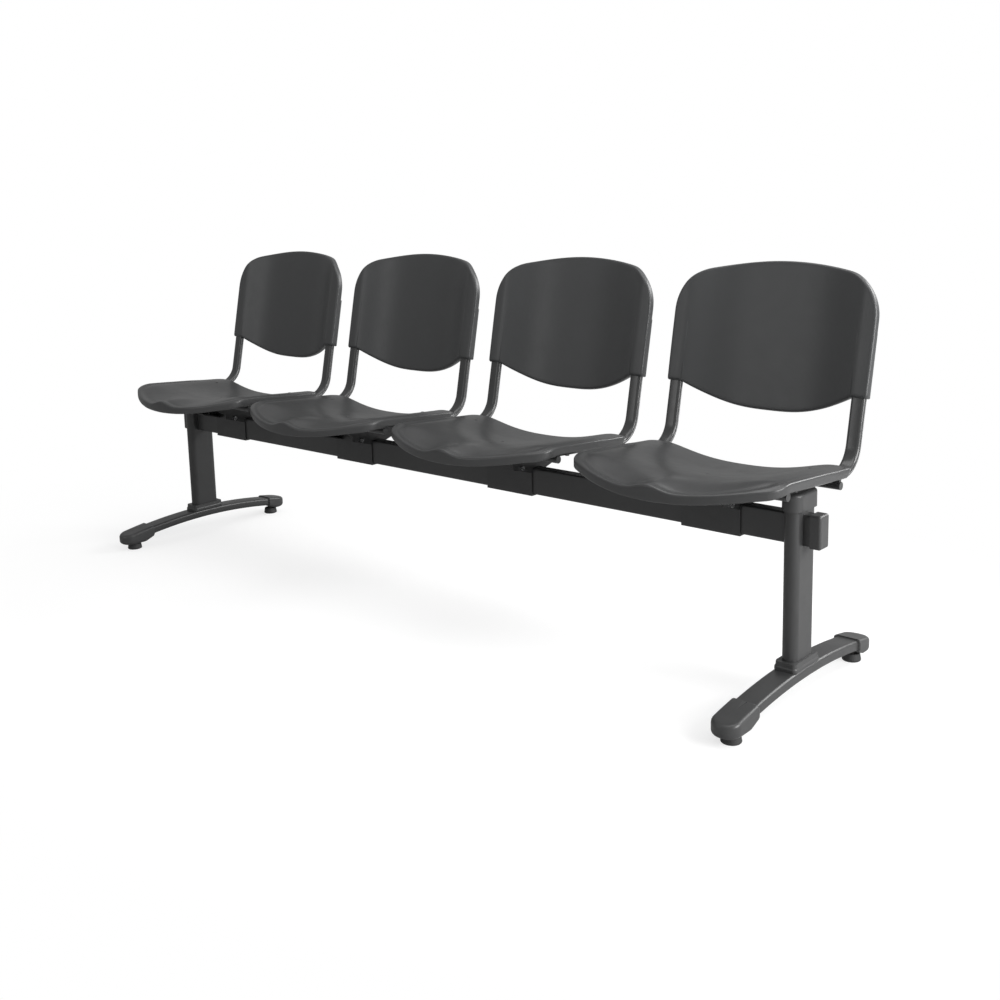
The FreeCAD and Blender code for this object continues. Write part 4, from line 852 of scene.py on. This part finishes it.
def make_floor():
    """A floor that shows faint shadows near the bench and is white to the camera further out."""
    mesh = bpy.data.meshes.new("floor")
    corners = [(x * FLOOR_HALF, y * FLOOR_HALF, 0) for x, y in ((-1, -1), (1, -1), (1, 1), (-1, 1))]
    mesh.from_pydata(corners, [], [(0, 1, 2, 3)])
    floor = bpy.data.objects.new("floor", mesh)
    bpy.context.collection.objects.link(floor)
    material, tree, shader = node_tree("floor_white")
    shader.inputs["Base Color"].default_value = (FLOOR_GREY, FLOOR_GREY, FLOOR_GREY, 1)
    shader.inputs["Roughness"].default_value = 0.9
    shader.inputs["Specular IOR Level"].default_value = 0.0
    glow = tree.nodes.new("ShaderNodeEmission")
    glow.inputs["Strength"].default_value = FLOOR_GLOW
    white = tree.nodes.new("ShaderNodeEmission")
    white.inputs["Strength"].default_value = 1.0
    place = tree.nodes.new("ShaderNodeTexCoord")
    squash = tree.nodes.new("ShaderNodeMapping")
    squash.inputs["Scale"].default_value = (ALONG_BEAM, 1.0, 1.0)
    away = tree.nodes.new("ShaderNodeVectorMath")
    away.operation = "LENGTH"
    fade = tree.nodes.new("ShaderNodeMapRange")
    fade.interpolation_type = "SMOOTHSTEP"
    fade.inputs["From Min"].default_value = WHITE_START
    fade.inputs["From Max"].default_value = WHITE_END
    far = tree.nodes.new("ShaderNodeMixShader")
    both = tree.nodes.new("ShaderNodeAddShader")
    path = tree.nodes.new("ShaderNodeLightPath")
    choose = tree.nodes.new("ShaderNodeMixShader")
    out = tree.nodes["Material Output"]
    link(tree, (
        (shader.outputs[0], both.inputs[0]),
        (glow.outputs[0], both.inputs[1]),
        (path.outputs["Is Camera Ray"], choose.inputs["Fac"]),
        (shader.outputs[0], choose.inputs[1]),
        (place.outputs["Object"], squash.inputs["Vector"]),
        (squash.outputs[0], away.inputs[0]),
        (away.outputs["Value"], fade.inputs["Value"]),
        (fade.outputs[0], far.inputs["Fac"]),
        (both.outputs[0], far.inputs[1]),
        (white.outputs[0], far.inputs[2]),
        (far.outputs[0], choose.inputs[2]),
        (choose.outputs[0], out.inputs["Surface"]),
    ))
    floor.data.materials.append(material)


def make_world():
    """Even light from all round, and white where the camera sees past the floor."""
    world = bpy.data.worlds.new("studio")
    bpy.context.scene.world = world
    world.use_nodes = True
    tree = world.node_tree
    light = tree.nodes["Background"]
    light.inputs["Color"].default_value = (1, 1, 1, 1)
    light.inputs["Strength"].default_value = WORLD_LIGHT
    seen = tree.nodes.new("ShaderNodeBackground")
    seen.inputs["Color"].default_value = (1, 1, 1, 1)
    seen.inputs["Strength"].default_value = 1.0
    path = tree.nodes.new("ShaderNodeLightPath")
    choose = tree.nodes.new("ShaderNodeMixShader")
    link(tree, (
        (path.outputs["Is Camera Ray"], choose.inputs["Fac"]),
        (light.outputs[0], choose.inputs[1]),
        (seen.outputs[0], choose.inputs[2]),
        (choose.outputs[0], tree.nodes["World Output"].inputs["Surface"]),
    ))


def area_light(name, place, aim, wide, power):
    data = bpy.data.lights.new(name, "AREA")
    data.shape = "RECTANGLE"
    data.size = wide[0]
    data.size_y = wide[1]
    data.energy = power
    lamp = bpy.data.objects.new(name, data)
    bpy.context.collection.objects.link(lamp)
    lamp.location = place
    lamp.rotation_euler = (Vector(aim) - Vector(place)).to_track_quat("-Z", "Y").to_euler()


# Name, place, aim, width and height in metres, and power in watts.
LIGHTS = (
    ("top_light", (0.6, 0.4, 3.4), (0.1, 0, 0.3), (3.4, 2.4), 52),
    ("side_light", (3.7, 0.1, 1.5), (0.5, 0, 0.35), (1.8, 2.0), 115),
    ("rim_light", (2.4, 3.4, 2.6), (0.2, 0, 0.4), (2.4, 1.6), 120),
    ("front_light", (-1.6, -3.8, 1.8), (0, 0, 0.5), (1.2, 1.8), 12),
)


make_frame_tubes()
make_seats()
make_backs()
make_feet()
make_floor()
make_world()
for light in LIGHTS:
    area_light(*light)

SLOT_OF = {row["node"]: row["material_slot"] for row in frame["record"]["subparts"]}
for name, node in frame["nodes"].items():
    if name in SLOT_OF:
        node.data.materials.clear()
        node.data.materials.append(MATERIALS[SLOT_OF[name]])

bpy.context.scene.view_settings.view_transform = "Standard"
